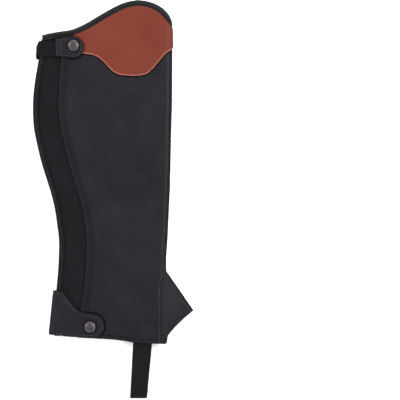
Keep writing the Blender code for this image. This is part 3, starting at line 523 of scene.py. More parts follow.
def cut(name, outline, low, high, material, grid=(), margin=1.6, form=middle, rows=(), edge=0.45,
        depth=0.3, skive=None, dark=(), pale=()):
    """Cuts a pattern piece, bends it and closes it into a wall with rounded edges.

    rows are the stitch lines, where the upper face is pressed in a little. skive gives how much
    thinner the leather is pared at a place of the pattern. dark are lines, each with its width and
    strength, along which a matt, dark colour is painted: painted shadow in the lee of another
    piece's edge, and painted shade along some rows and seams. pale are lines of bare, unfinished
    hide.
    """
    line = np.array(outline)
    turn = (line[:, 0] * np.roll(line[:, 1], -1) - np.roll(line[:, 0], -1) * line[:, 1]).sum()
    BLANKS[name] = (*np.ptp(line, axis=0), abs(turn) / 2)
    inner = [tuple(p) for p in moved(outline[::-1] if turn < 0 else outline, edge)]
    lines = [(row, STITCH_SIDES) for row in rows]
    lines += [(row, np.linspace(-width, width, 5)) for row, width, _ in [*dark, *pale]]
    flat, _, triangles, _, _, _ = delaunay_2d_cdt(
        [Vector(p) for p in [*inner, *filling(inner, grid, margin, lines)]], [],
        [list(range(len(inner)))], 1, 1e-5)
    flat = [(p.x, p.y) for p in flat]
    count = len(flat)

    sunk = np.zeros(count)
    for row in rows:
        sunk = np.maximum(sunk, depth * np.exp(-(distance_to(flat, row) / GROOVE) ** 2))
    if skive:
        sunk += [skive(*p) for p in flat]
    frames = [place_and_normal(*p, form) for p in flat]
    points = [place + normal * (high - s) for (place, normal), s in zip(frames, sunk)]
    points += [place + normal * low for place, normal in frames]
    faces = [tuple(t) for t in triangles]
    faces += [tuple(reversed([i + count for i in t])) for t in triangles]

    loop = boundary(triangles)
    rings = [loop]
    where = flat + flat
    for turn, side, level in ((45, 1, high), (90, 1, high), (90, -1, low), (45, -1, low)):
        out = edge * math.sin(math.radians(turn))
        drop = edge * (1 - math.cos(math.radians(turn)))
        spots = [tuple(p) for p in moved([flat[i] for i in loop], -out)]
        rings.append(range(len(points), len(points) + len(spots)))
        pared = [skive(*p) if skive and side > 0 else 0.0 for p in spots]
        points += [lifted(*p, level - side * drop - s, form) for p, s in zip(spots, pared)]
        where += spots
    rings.append([i + count for i in loop])
    faces += [(b, a, d, c) for a, b, c, d in bands(rings)]
    return make_object(name, points, faces, material, where,
                       marked(flat, dark), marked(flat, pale))

# %% Other closed bodies
def outward(thing, *steps):
    """Turns every face of a closed mesh outwards, after any other steps on it."""
    work = bmesh.new()
    work.from_mesh(thing.data)
    for step in steps:
        step(work)
    bmesh.ops.recalc_face_normals(work, faces=work.faces)
    work.to_mesh(thing.data)
    work.free()


def sweep(name, rings, material, flat=None, ends=True, dim=()):
    """A closed body through rings of the same number of points."""
    size = len(rings[0])
    numbers = [range(r * size, (r + 1) * size) for r in range(len(rings))]
    faces = bands(numbers)
    if ends:
        faces += [tuple(reversed(numbers[0])), tuple(numbers[-1])]
    thing = make_object(name, [p for ring in rings for p in ring], faces, material, flat, dim)
    outward(thing)
    return thing


def shell(name, rows, half, material, flat, dim=()):
    """A closed wall, half a thickness to each side of a grid of points."""
    last_row, last = len(rows) - 1, len(rows[0]) - 1
    outer, inner = [], []
    for r, row in enumerate(rows):
        for c, point in enumerate(row):
            along = row[min(c + 1, last)] - row[max(c - 1, 0)]
            down = rows[min(r + 1, last_row)][c] - rows[max(r - 1, 0)][c]
            normal = down.cross(along).normalized()
            outer.append(point + normal * half)
            inner.append(point - normal * half)
    size, count = last + 1, len(outer)
    faces = []
    for a in (r * size + c for r in range(last_row) for c in range(last)):
        quad = (a, a + size, a + size + 1, a + 1)
        faces += [quad, tuple(reversed([i + count for i in quad]))]
    rim = [*range(size), *range(size + last, count, size),
           *range(count - 2, count - size - 1, -1), *range(count - 2 * size, 0, -size)]
    faces += bands([rim, [i + count for i in rim]])
    return make_object(name, outer + inner, faces, material, flat + flat, dim)


def dress(piece, node, body="chap"):
    """A finished piece stands for its solid, which it hides, and rides its body."""
    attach(piece, body)
    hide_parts(node)
    tell_size(piece)


# %% [markdown]
# ## Camera, light and floor
#
# The camera looks straight down from four and a half metres, with a long lens, so that nothing is
# foreshortened. The floor is pale, and it glows a little, so that it stays nearly white. Leather
# is dark, so what shows of it is mostly reflected light: broad lamps low at the sides let the
# grain and the folds catch it, and nothing bright hangs right over the leather, where its mirror
# image would wash it out.

# %% The camera
CAMERA_HEIGHT = 4.5
VIEW_WIDTH = 0.512
VIEW_CENTRE = Vector((111.5, -0.1, 0))
LEATHER_HEIGHT = 0.015  # the view's width is measured at this level
SENSOR = 36.0

lens = bpy.data.cameras.new("camera")
lens.sensor_width = SENSOR
lens.lens = SENSOR * (CAMERA_HEIGHT - LEATHER_HEIGHT) / VIEW_WIDTH
lens.clip_end = 20.0
camera = linked("camera", lens)
camera.location = (VIEW_CENTRE + SHIFT) * MM + Vector((0, 0, CAMERA_HEIGHT))
bpy.context.scene.camera = camera
print(f"a lens of {lens.lens:.0f} mm")

# %% The lamps, the surroundings and the floor
LAMPS = table("name x y z size power",
    ("left", -1.5, 0.7, 1.7, 0.9, 32.0),
    ("right", 1.4, 0.5, 1.9, 0.7, 38.0),
    ("back", 0.3, 1.8, 1.4, 1.2, 22.0),
    ("front_left", -1.1, -1.6, 1.3, 1.3, 26.0),
    ("front_right", 1.3, -1.6, 1.3, 1.3, 26.0))
for lamp in LAMPS:
    light = bpy.data.lights.new(lamp.name, "AREA")
    light.shape = "DISK"
    light.size = lamp.size
    light.energy = lamp.power
    holder = linked(lamp.name, light)
    holder.location = (lamp.x, lamp.y, lamp.z)
    holder.rotation_euler = (-Vector(holder.location)).to_track_quat("-Z", "Y").to_euler()

world = bpy.data.worlds.new("studio")
world.use_nodes = True
sky = world.node_tree
direction = sky.nodes.new("ShaderNodeTexCoord")
split = sky.nodes.new("ShaderNodeSeparateXYZ")
ramp = sky.nodes.new("ShaderNodeMapRange")
ramp.interpolation_type = "SMOOTHSTEP"
for name, value in (("From Min", 0.2), ("From Max", 0.8), ("To Min", 0.55), ("To Max", 0.10)):
    ramp.inputs[name].default_value = value
sky.links.new(direction.outputs["Generated"], split.inputs[0])
sky.links.new(split.outputs["Z"], ramp.inputs["Value"])
sky.links.new(ramp.outputs[0], sky.nodes["Background"].inputs["Strength"])
sky.nodes["Background"].inputs["Color"].default_value = (0.97, 0.98, 1.0, 1)
bpy.context.scene.world = world
bpy.context.scene.view_settings.view_transform = "Standard"

FLOOR_HALF = 4.0
floor_mesh = bpy.data.meshes.new("floor")
floor_mesh.from_pydata([(x * FLOOR_HALF, y * FLOOR_HALF, 0)
                        for x, y in ((-1, -1), (1, -1), (1, 1), (-1, 1))], [], [(0, 1, 2, 3)])
floor = linked("floor", floor_mesh)
print(len(LAMPS), "lamps and a floor")

# %% [markdown]
# ## Materials
#
# Every material is a small tree of nodes. Wiring nodes one by one makes code that nobody can
# read, so `Socket` wraps an output of the tree and lets sums be written as plain Python: `grain *
# 0.4 + 1` becomes a Multiply and an Add node. Patterns are read from the UV map, which is the
# flat pattern in hundredths of a metre, so they lie in the cloth and stretch with it.

# %% A socket that knows arithmetic
MIX_SOCKETS = {"VECTOR": (4, 5, 1), "RGBA": (6, 7, 2)}  # a Mix node's two inputs and its output


class Socket:
    """One output of a node tree; arithmetic on it adds Math nodes."""

    def __init__(self, tree, output):
        self.tree = tree
        self.output = output

    def maths(self, operation, *values):
        node = self.tree.nodes.new("ShaderNodeMath")
        node.operation = operation
        for value, target in zip((self, *values), node.inputs):
            plug(self.tree, value, target)
        return Socket(self.tree, node.outputs[0])

    def __add__(self, other):
        return self.maths("ADD", other)

    def __sub__(self, other):
        return self.maths("SUBTRACT", other)

    def __mul__(self, other):
        return self.maths("MULTIPLY", other)

    def between(self, low, high):
        """0 below low, 1 above high, and smooth between."""
        return add_node(self.tree, "ShaderNodeMapRange", 0, {"interpolation_type": "SMOOTHSTEP"},
                        value=self, from_min=low, from_max=high)

    def mixed(self, one, two, kind="RGBA"):
        """A colour, or a vector, between two, by this share."""
        return blend(self.tree, self, one, two, kind)


def plug(tree, value, target):
    if isinstance(value, Socket):
        tree.links.new(value.output, target)
    elif isinstance(value, (tuple, list)) and len(value) == 3 and target.type == "RGBA":
        target.default_value = (*value, 1.0)
    else:
        target.default_value = value


def fill(tree, node, inputs):
    """Plugs values into a node's inputs by name: base_color stands for Base Color."""
    for name, value in inputs.items():
        plug(tree, value, node.inputs[name.replace("_", " ").title().replace("Ior", "IOR")])


def add_node(tree, kind, output=0, settings=None, **inputs):
    node = tree.nodes.new(kind)
    for name, value in (settings or {}).items():
        setattr(node, name, value)
    fill(tree, node, inputs)
    return Socket(tree, node.outputs[output])


def blend(tree, share, one, two, kind):
    node = tree.nodes.new("ShaderNodeMix")
    node.data_type = kind
    first, second, result = MIX_SOCKETS[kind]
    for value, number in ((share, 0), (one, first), (two, second)):
        plug(tree, value, node.inputs[number])
    return Socket(tree, node.outputs[result])

# %% A finish that reads its patterns in place
def srgb(*values):
    """A colour from 0 to 255 as the eye sees it, made linear."""
    return tuple(((v / 255 + 0.055) / 1.055) ** 2.4 if v > 10 else v / 255 / 12.92 for v in values)


class Finish:
    """A material with a Principled shader and a place to read its patterns from.

    That place is the flat pattern, or else the object's own space.
    """

    def __init__(self, name, flat=True, **fixed):
        self.material = bpy.data.materials.new(name)
        self.material.use_nodes = True
        self.tree = self.material.node_tree
        self.shader = self.tree.nodes["Principled BSDF"]
        if flat:
            self.place = self.add("ShaderNodeUVMap", 0, {"uv_map": "UVMap"})
        else:
            self.place = self.add("ShaderNodeTexCoord", 3)
        self.set(**fixed)

    def add(self, kind, output=0, settings=None, **inputs):
        return add_node(self.tree, kind, output, settings, **inputs)

    def set(self, **inputs):
        fill(self.tree, self.shader, inputs)

    def stored(self, name):
        """A number stored on the points of the mesh."""
        return self.add("ShaderNodeAttribute", 2, {"attribute_name": name})

    def noise(self, scale, detail=2.0, rough=0.5, output=0):
        return self.add("ShaderNodeTexNoise", output, None, vector=self.place, scale=scale,
                        detail=detail, roughness=rough)

    def creases(self, scale, place):
        """The distance from the borders of cells that lie at random."""
        return self.add("ShaderNodeTexVoronoi", 0, {"feature": "DISTANCE_TO_EDGE"}, vector=place,
                        scale=scale)

    def waves(self, direction, scale, distortion):
        return self.add("ShaderNodeTexWave", 1,
                        {"wave_type": "BANDS", "bands_direction": direction},
                        vector=self.place, scale=scale, distortion=distortion)

    def blend_painted_shade(self, share, color):
        """Blend in a matt, dark painted shade by a share that varies over the surface."""
        matt = self.add("ShaderNodeBsdfPrincipled", 0, None, base_color=color, roughness=0.95,
                        specular_ior_level=0.0)
        both = self.add("ShaderNodeMixShader", 0, None, fac=share)
        shiny, dull = both.output.node.inputs[1:]
        self.tree.links.new(self.shader.outputs[0], shiny)
        self.tree.links.new(matt.output, dull)
        self.tree.links.new(both.output, self.tree.nodes["Material Output"].inputs[0])

    def bump(self, height, strength, distance):
        self.set(normal=self.add("ShaderNodeBump", 0, None, height=height, strength=strength,
                                 distance=distance))


print("materials are ready to be made")

# %% [markdown]
# ### Leather
#
# Grain leather is a field of small pebbles with creases between them. A Voronoi pattern's
# distance to the edge gives those creases, a second one twice as fine breaks them up, and slow
# noise varies the height and the gloss, as handling does. The same recipe serves every leather
# here, with its own colours, pebble size and gloss.
#
# Two numbers stored on each point of a mesh steer it. "shade" is 1 where the leather turns down
# at an edge or lies in the lee of another piece; there a matt, dark colour is blended in as
# painted shade and painted shadow.
# "bare" is 1 where the knife has left pale raw hide, at the edge of a piece.

# %% The leathers
def leather(name, dark, light, pebbles, gloss, strength, rough, shadow, hide=None):
    made = Finish(name, specular_ior_level=gloss)
    wander = made.noise(9.0, output=1)
    place = blend(made.tree, 0.012, made.place, wander, "VECTOR")
    coarse = made.creases(pebbles, place).between(0.0, 0.16)
    fine = made.creases(pebbles * 2.3, place).between(0.0, 0.2)
    slow = made.noise(3.0, 3.0, 0.55)
    patches = made.noise(0.9)
    height = coarse * 0.7 + fine * 0.3 + slow * 0.35
    tone = slow * 0.5 + patches * 0.4 + coarse * 0.25
    color = tone.between(0.25, 0.95).mixed(dark, light)
    if hide:
        color = (made.stored("bare") * (coarse * 0.3 + 0.7)).mixed(color, hide)
    made.set(base_color=color, roughness=(slow * 0.16 + patches * 0.1 + rough) - coarse * 0.05)
    # painted shade: a matt colour at a third of the darkest tone, by the "shade" attribute
    made.blend_painted_shade(made.stored("shade") * shadow, tuple(c * 0.3 for c in dark))
    made.bump(height, strength, 0.00035)
    return made.material


black = leather("black_leather", srgb(18, 17, 21), srgb(30, 29, 34), 62.0, 0.15, 0.22, 0.32, 0.9)
brown = leather("brown_leather", srgb(94, 40, 29), srgb(110, 51, 39), 70.0, 0.12, 0.2, 0.36, 0.4,
                hide=srgb(196, 128, 112))
rolled = leather("binding_leather", srgb(14, 14, 16), srgb(24, 24, 27), 75.0, 0.22, 0.25, 0.30,
                 0.7)
print(len(bpy.data.materials), "leathers")

# %% [markdown]
# ### Elastic, tape, thread and metal
#
# Elastic is ribbed along its length: rubber cords covered with yarn. A wave across the cords
# gives the ribs, and a finer one along them gives the yarn. The thread is a twisted yarn, so its
# bump runs slantwise. The metal is a dark nickel, brushed by wear.

# %% Elastic, tape and thread
def woven(name, dark, light, across, along, strength, sheen):
    made = Finish(name, roughness=0.85, specular_ior_level=0.1, sheen_weight=sheen,
                  sheen_roughness=0.5)
    ribs = made.waves("X", across, 0.25)
    yarn = made.waves("Y", along, 0.3)
    slow = made.noise(2.5, 3.0, 0.6)
    tone = ribs * 0.35 + yarn * 0.2 + slow * 0.6
    made.set(base_color=tone.between(0.2, 0.95).mixed(dark, light))
    made.bump(ribs * 0.7 + yarn * 0.3, strength, 0.0003)
    return made.material


stretch = woven("ribbed_elastic", srgb(10, 9, 12), srgb(22, 21, 25), 20.0, 42.0, 0.5, 0.03)
webbing = woven("strap_elastic", srgb(9, 9, 11), srgb(20, 20, 22), 42.0, 18.0, 0.5, 0.03)
tape = woven("tape_weave", srgb(16, 16, 18), srgb(34, 34, 37), 30.0, 30.0, 0.4, 0.1)


def thread(name, dark, light, gloss=0.4):
    made = Finish(name, flat=False, roughness=0.55, specular_ior_level=gloss,
                  sheen_weight=gloss / 4)
    twist = made.waves("DIAGONAL", 700.0, 0.5)
    tone = twist * 0.7 + made.noise(90.0) * 0.3
    made.set(base_color=tone.between(0.1, 0.9).mixed(dark, light))
    made.bump(twist, 0.4, 0.0001)
    return made.material


black_thread = thread("black_thread", srgb(20, 19, 23), srgb(40, 39, 45))
dark_thread = thread("dark_thread", srgb(5, 5, 6), srgb(14, 14, 17))
matt_thread = thread("matt_thread", srgb(5, 5, 6), srgb(14, 14, 17), gloss=0.22)
brown_thread = thread("brown_thread", srgb(104, 48, 38), srgb(164, 92, 76))
print(len(bpy.data.materials), "materials so far")

# %% Metal, the paint of the floor
def metal(name, dark, light, rough):
    made = Finish(name, flat=False, metallic=1.0)
    scuffs = made.noise(420.0, 4.0, 0.65)
    tone = made.noise(60.0) * 0.6 + scuffs * 0.4
    made.set(base_color=tone.between(0.2, 0.85).mixed(dark, light),
             roughness=scuffs * 0.22 + rough)
    made.bump(scuffs, 0.12, 0.0001)
    return made.material


gunmetal = metal("dark_nickel", srgb(79, 75, 76), srgb(103, 98, 100), 0.32)

paint = Finish("studio_floor", flat=False, roughness=0.9, specular_ior_level=0.1,
               emission_color=(1.0, 1.0, 1.0), emission_strength=0.35)
paint.set(base_color=paint.noise(1.5).between(0.2, 0.8).mixed((0.93,) * 3, (0.95,) * 3))
floor.data.materials.append(paint.material)
print(len(bpy.data.materials), "materials")

# %% [markdown]
# ## The leather panels
#
# The outer panel is cut with a slot up its front, where the instep flare is let in. Its back
# edge, by the elastic, is topstitched twice. A stitched rectangle low on it holds the loop that
# passes under the boot, which is sewn on behind.

# %% Outer panel
def slot_edge(widen, start, end, count):
    """The gusset's seam where it rounds the front fold: half an ellipse in the pattern."""
    points = []
    for i in range(count):
        turn = math.radians(start + (end - start) * i / count)
        up = GUSSET_SHOULDER + (GUSSET_TOP - GUSSET_SHOULDER + widen) * math.cos(turn)
        half = fold_length(up) / 2
        points.append((fold_start(up) + half + (half + widen) * math.sin(turn), up))
    return points


# The centre and the radius of each tab's round end
LOWER_TAB, TOP_TAB = table("x y radius", (-26.2, -161.4, 15.4), (-50.7, 195.3, 13.7))
STITCH_IN = (2.0, 4.6)  # how far the two rows lie from the elastic's seam
FLARE_STITCH_IN, HEM_STITCH_IN = 2.2, 4.6
BOX = (29.5, -178.0, 54.4, -155.4)  # the stitched rectangle over the stirrup's end
TUCK = 1.8  # how far the strip and the elastic run on under the rolled binding
# About how far up the hem and the mouth cross these lines
HEM_AT_BACK, HEM_AT_SEAM, HEM_AT_FOLD = -173.0, -175.0, -184.0
MOUTH_AT_BACK, MOUTH_AT_STRIP, MOUTH_AT_SEAM, MOUTH_BEHIND = 202.0, 204.0, 208.0, 219.0
TAB_SHADOW = (1.9, 0.9)  # the width and the strength of the painted shadow line beside a tab

half_gap = GAP / 2
low_back = hem_out(seam(HEM_AT_SEAM))
hem_front = fold_start(HEM_AT_FOLD)
slot_low = hem_out(hem_front)
right = shifted(fold_end, UNDER_WRAP)
mouth_low = BINDING_WIDTH + GAP
panel_top = mouth(right(MOUTH_BEHIND)) - mouth_low
panel_mouth = mouth(seam(MOUTH_AT_SEAM)) - mouth_low
outline = (
    path(seam(low_back), hem_front - half_gap, 50, itself, hem)
    + path(slot_low, GUSSET_SHOULDER, 26, shifted(fold_start, -half_gap), itself)
    + slot_edge(half_gap, -90.0, 90.0, 36)
    + path(GUSSET_SHOULDER, slot_low, 26, shifted(fold_end, half_gap), itself)
    + path(right(slot_low) - UNDER_WRAP + half_gap, right(slot_low), 6, itself, same(slot_low))
    + path(slot_low, panel_top, 130, right, itself)
    + mouth_edge(right(panel_top), seam(MOUTH_AT_SEAM) + 1.0, 110, mouth_low)
    + path(panel_mouth, low_back, 150, seam, itself))

seam_rows = [path(low_back + 2.0, panel_mouth - 1.0, 150, shifted(seam, inset), itself)
             for inset in STITCH_IN]
left, low, far, high = BOX
corners = [(left, low), (far, low), (far, high), (left, high), (left, low)]
box_row = [(a + (c - a) * i / 8, b + (d - b) * i / 8)
           for (a, b), (c, d) in zip(corners, corners[1:]) for i in range(8)] + corners[:1]
flare_row = (
    path(slot_low + 2.0, GUSSET_SHOULDER, 24, shifted(fold_start, -FLARE_STITCH_IN), itself)
    + slot_edge(FLARE_STITCH_IN, -90.0, 0.0, 14))
hem_row = path(seam(low_back) + 3.0, hem_front - 5.0, 40, itself, shifted(hem, HEM_STITCH_IN))
outer_rows = seam_rows + [box_row, flare_row, hem_row]

# painted shadow beside both tabs and under the overlay's edge; painted shade along the hem, its
# row, the box row and beside the seam
beside_lower_tab = (beside(path(-52.0, LOWER_TAB.x, 30, itself, tab_edge), 1.0)
                    + round_end(LOWER_TAB, 1.0, 26))
beside_top_tab = round_end(TOP_TAB, 1.0, 26) + path(
    TOP_TAB.x, -54.0, 6, itself, same(TOP_TAB.y - TOP_TAB.radius - 1.0))
below_overlay = path(SCALLOP[0].across + 3.0, SCALLOP[-1].across - 2.0, 110, itself,
                     shifted(scallop, -0.9))
hem_rim = path(seam(low_back) + 1.0, hem_front - 2.0, 40, itself, shifted(hem, 0.4))
between_rows = path(low_back + 2.0, panel_mouth - 1.0, 90, shifted(seam, 5.0), itself)
dress(cut("outer_leather", outline, -FACE, FACE, black, fine_grid, rows=outer_rows,
          dark=[(beside_top_tab, *TAB_SHADOW), (below_overlay, 1.5, 1.0), (beside_lower_tab, *TAB_SHADOW),
                (hem_rim, 0.8, 0.6), (hem_row, 1.5, 1.0), (box_row, 1.3, 0.85),
                (between_rows, 8.0, 0.32)]), "outer_panel")

# %% Back strip, along the zip
tucked = BINDING_WIDTH - TUCK
strip_low = hem_out(back(HEM_AT_BACK))
strip_edge = shifted(back, STRIP_WIDTH)
strip_high = mouth(strip_edge(MOUTH_AT_STRIP)) - tucked
back_high = mouth(back(MOUTH_AT_BACK)) - tucked
outline = (
    path(back(strip_low), strip_edge(strip_low), 3, itself, same(strip_low))
    + path(strip_low, strip_high, 150, strip_edge, itself)
    + path(strip_edge(strip_high), back(back_high), 3, itself, shifted(mouth, -tucked))
    + path(back_high, strip_low, 150, back, itself))
strip_row = path(strip_low + 1.5, strip_high - 1.5, 150, shifted(back, 3.4), itself)
# the strip is darkened along its middle by the same matt, dark blend as the painted shade
strip_middle = path(strip_low, strip_high, 90, shifted(back, STRIP_WIDTH / 2), itself)
dress(cut("back_leather", outline, -FACE, FACE, black, rows=[strip_row], edge=0.5, depth=0.35,
          dark=[(strip_middle, 9.0, 0.5)]), "back_strip")
length = np.linalg.norm(np.diff(np.array(strip_row), axis=0), axis=1).sum() + 3.0
BLANKS["back_leather"] = (10.0, length, BLANKS["back_leather"][2])  # measured along its curve

# %% Elastic panel, lapped under the leather
low = hem_out(-57.0) + 3.0
left_edge, right_edge = shifted(back, 1.5), shifted(seam, SEAM_LAP)
high_left = mouth(left_edge(MOUTH_AT_BACK)) - tucked
high_right = mouth(right_edge(MOUTH_AT_SEAM)) - tucked
outline = (
    path(left_edge(low), right_edge(low), 10, itself, same(low))
    + path(low, high_right, 110, right_edge, itself)
    + mouth_edge(right_edge(high_right), left_edge(high_left), 14, tucked)
    + path(high_left, low, 110, left_edge, itself))
dress(cut("stretch_panel", outline, ELASTIC_LOW, ELASTIC_HIGH, stretch, fine_grid, edge=0.3),
      "elastic_panel")

# %% Inner panel, underneath
def back_under(up):
    return under(up, back(up))


def set_in(up):
    return under(up, back(up) + TAB_ROOT + GAP)


def steps_at(up):
    """Where the panel's edge steps in or out to let a strap or a tab by."""
    return [(set_in(up), up), ((set_in(up) + back_under(up)) / 2, up), (back_under(up), up)]


inner_front = shifted(fold_end, UNDER_WRAP + 0.05)
low = hem_out(50.0)
low_back = hem_out(back(HEM_AT_BACK))
tab_line = TAB_TOP + GAP + 0.6
strap_line = STRAP_LOW - STRAP_DROP - GAP
top = mouth(inner_front(212.0)) - mouth_low
outline = (
    path(inner_front(low), set_in(low_back), 60, itself, hem)
    + path(low_back, tab_line, 24, set_in, itself)
    + steps_at(tab_line)[:2]
    + path(tab_line, strap_line, 120, back_under, itself)
    + steps_at(strap_line)[:0:-1]
    + path(strap_line, STRAP_HIGH, 8, set_in, itself)
    + mouth_edge(set_in(STRAP_HIGH), inner_front(top), 60, mouth_low)
    + path(top, low, 130, inner_front, itself))
dress(cut("inner_leather", outline, -FACE, FACE, black, leg_grid(7.0, 7.0, 2.0), edge=0.45),
      "inner_panel")

# %% [markdown]
# ## The knee overlay and the rolled binding
#
# The brown overlay is a thinner leather laid on top. Its lower edge is cut in long scallops and
# left raw, so the pale middle of the hide shows as a fine line, with one row of stitches inside
# it. The binding is a strip of soft leather sewn round the edge: it bulges, and its stitch row
# pulls a groove along its lower side.

# %% Spanish top
left, far = SCALLOP[0].across, SCALLOP[-1].across
top = mouth(left) - mouth_low
end_middle, end_half = (top + SCALLOP[0].up) / 2, (top - SCALLOP[0].up) / 2
outline = (
    path(left, far, 200, itself, scallop)
    + path(scallop(far), mouth(far) - mouth_low, 18, same(far), itself)
    + mouth_edge(far, left, 120, mouth_low)
    + path(math.pi / 2, math.pi * 1.5, 16, lambda turn: left + 6.0 * math.cos(turn),
           lambda turn: end_middle + end_half * math.sin(turn)))
raw_edge = path(left, far - 3.0, 200, itself, scallop)
brown_row = beside(raw_edge, 1.9)


def pared_edge(across, up):
    """The overlay is thinned where the binding covers its edge."""
    return 0.5 * (1 - ease(mouth(across) - up, mouth_low - 0.4, mouth_low + 3.5))


# a line of painted shadow beside the top tab's round end
dress(cut("knee_overlay", outline, OVERLAY_LOW, OVERLAY_HIGH, brown, fine_grid, rows=[brown_row],
          edge=0.3, skive=pared_edge, pale=[(raw_edge, 1.1, 0.8)],
          dark=[(round_end(TOP_TAB, 1.0, 26), *TAB_SHADOW)]), "spanish_top")

# %% Rolled binding round the mouth
BINDING_SIDES, BINDING_RINGS = 40, 230
BINDING_END = 205.0  # how far up it ends, underneath


def binding_section():
    """Round the section: the inset from the mouth, the level, the painted shade, and 1 if above.
    """
    boxy = section_ring(BINDING_SIDES, 0.5, BINDING_HALF - 0.17, 0.85, 0.9)
    for (side, level), (inward, tall) in zip(section_ring(BINDING_SIDES, 1.0, 1.0), boxy):
        above = float(level > 0)
        ridge = 0.16 * math.exp(-((side + 0.3) / 0.3) ** 2)
        groove = 0.5 * math.exp(-((side - 0.24) / 0.14) ** 2)
        groove += 0.5 * ease(side, 0.0, 0.3) * (1 - ease(side, 0.75, 1.0))
        # painted shade in the groove that the stitch row pulls along the lower side
        shade = 0.7 * math.exp(-((side - 0.22) / 0.2) ** 2)
        inset = (BINDING_WIDTH + 0.6) * (0.5 + inward)
        yield inset, tall + (ridge - groove) * above, shade * above, above


section = list(binding_section())
start = MOUTH[0].across
end = under(BINDING_END, back(BINDING_END) + TAB_ROOT + 3 * GAP)
rings, flat = [], []
gone = 0.0
for i in range(BINDING_RINGS + 1):
    across = start + (end - start) * i / BINDING_RINGS
    up = mouth(across)
    gone += in_from_mouth(across, 0.0)[1] * (end - start) / BINDING_RINGS
    hidden = ease(across, fold_start(up), fold_end(up))
    centre = 0.2 + hidden * (FACE - BINDING_HALF - 0.2)
    pucker = 0.05 * math.sin(gone * 1.9) + 0.05 * math.sin(gone * 0.83)
    rings.append([lifted(*in_from_mouth(across, inset)[0], centre + level + pucker * above)
                  for inset, level, _, above in section])
    flat += [(gone, k * 0.9) for k in range(BINDING_SIDES)]
dim = [shade for _, _, shade, _ in section] * len(rings)
dress(sweep("mouth_binding", rings, rolled, flat, dim=dim), "top_binding")
binding_cut = 2 * BINDING_WIDTH - 1.4  # over the edge and back, less the turn itself
BLANKS["mouth_binding"] = (binding_cut, gone, binding_cut * gone)

# %% [markdown]
# ## The instep flare
#
# A wedge of leather is let into the front slot and folded down its own middle, so that the hem
# can flare over the boot. `share` runs from the seam to the fold and `down` from its tip to the
# hem. Near the fold the section is a half circle, so the leather rolls over rather than creasing
# sharp.

# %% Instep flare
FLARE_LAP = half_gap - 0.12  # its edges nearly touch the panel's, as sewn edges do
SHOULDER = 0.3  # how far down the flare its tip is round
FLARE_COLUMNS, FLARE_ROWS = 34, 64
MEASURED = 8  # the column along which the flare's height is measured


def flare_seam(down, side):
    """Where the flare is sewn in: its tip rounds the fold, and its sides run down to the hem."""
    if down < SHOULDER:
        turn = math.radians(90.0 * down / SHOULDER)
        up = GUSSET_SHOULDER + (GUSSET_TOP - GUSSET_SHOULDER - GAP) * math.cos(turn)
        half = fold_length(up) / 2
        return middle(fold_start(up) + half - side * (half + FLARE_LAP) * math.sin(turn), up)
    part = (down - SHOULDER) / (1 - SHOULDER)
    up = GUSSET_SHOULDER + part * (GUSSET_LOW - GUSSET_SHOULDER)
    return middle(fold_start(up) - FLARE_LAP if side > 0 else fold_end(up) + FLARE_LAP, up)


def stray(share):
    """How far the hem strays from a straight line."""
    for a, b in zip(FLARE, FLARE[1:]):
        if a.share <= share <= b.share:
            part = (share - a.share) / (b.share - a.share)
            return Vector((a.x, a.y, 0)).lerp(Vector((b.x, b.y, 0)), part)


def flare_point(share, down, side):
    """The flare's middle: share 0 at its seam, 1 at its fold; down 0 at the top, 1 at the hem."""
    sewn_at = flare_seam(down, side)
    top = middle(fold_start(GUSSET_TOP) + fold_length(GUSSET_TOP) / 2, GUSSET_TOP)
    fold_z = top.z + (FACE + GUSSET_FOLD - top.z) * ease(down, 0.0, 0.5)
    fold_place = Vector((top.x, top.y - GAP, 0)).lerp(Vector((*GUSSET_TIP, 0)), down)
    flat_seam = Vector((sewn_at.x, sewn_at.y, 0))
    place = flat_seam.lerp(fold_place, share) + stray(share) * down ** 4
    width = max((fold_place - flat_seam).length, 0.01)
    rise = sewn_at.z - fold_z
    round_rise = max(min(rise, GUSSET_FOLD), -GUSSET_FOLD) if side > 0 else rise
    near = 1 - share
    if width > GUSSET_FOLD:
        near = min(near * width / GUSSET_FOLD, 1.0)
    bend = math.sqrt(1 - (1 - near) ** 2)
    place.z = fold_z + round_rise * bend + (rise - round_rise) * (1 - share)
    return place


shares = [1 - (1 - i / FLARE_COLUMNS) ** 1.9 for i in range(FLARE_COLUMNS)]
rows, flat, dim = [], [], []
for i in range(FLARE_ROWS + 1):
    down = 0.03 + 0.97 * i / FLARE_ROWS
    row = [flare_point(share, down, 1) for share in (*shares, 1.0)]
    row += [flare_point(share, down, -1) for share in reversed(shares)]
    rows.append(row)
    fold = row[FLARE_COLUMNS]
    gone = 0.0
    for c, point in enumerate(row):
        gone += (point - row[c - 1]).length if c else 0.0
        flat.append((gone, point.y))
        away = Vector((fold.x - point.x, fold.y - point.y)).length
        # painted shade: a little over the whole flare, and strong along its fold, where it turns
        # down
        dim.append(0.2 + 0.75 * (1 - ease(away, 0.9, 2.3)))
dress(shell("flare_leather", rows, FACE, black, flat, dim + dim), "instep_gusset")
widths = [sum((b - a).length for a, b in zip(row, row[1:])) for row in rows]
drops = [(b[FLARE_COLUMNS] - a[FLARE_COLUMNS]).length for a, b in zip(rows, rows[1:])]
strips = [(one + two) / 2 * (a[MEASURED].y - b[MEASURED].y)
          for one, two, a, b in zip(widths, widths[1:], rows, rows[1:])]
BLANKS["flare_leather"] = (max(widths), sum(drops), sum(strips))

# %% [markdown]
# ## Strap and tabs
#
# These wrap the back edge: over the outer side, round, and back under to a seam. `Wrap` says how
# far out the bend reaches and how high it lies, and `wrap_form` is their own form, used in place
# of `middle`.

# %% The form of a piece that rounds the back edge
Wrap = namedtuple("Wrap", "reach lift half drop")


def wrap_turn(wrap, up):
    """The bend's start, its radius, its top, a quarter turn's length and the straight part."""
    start = back(up) - GAP
    radius = start - wrap.reach(up) - wrap.half
    top = middle(start, up).z + wrap.lift(start)
    return start, radius, top, radius * math.pi / 2, top - wrap.half - 2 * radius


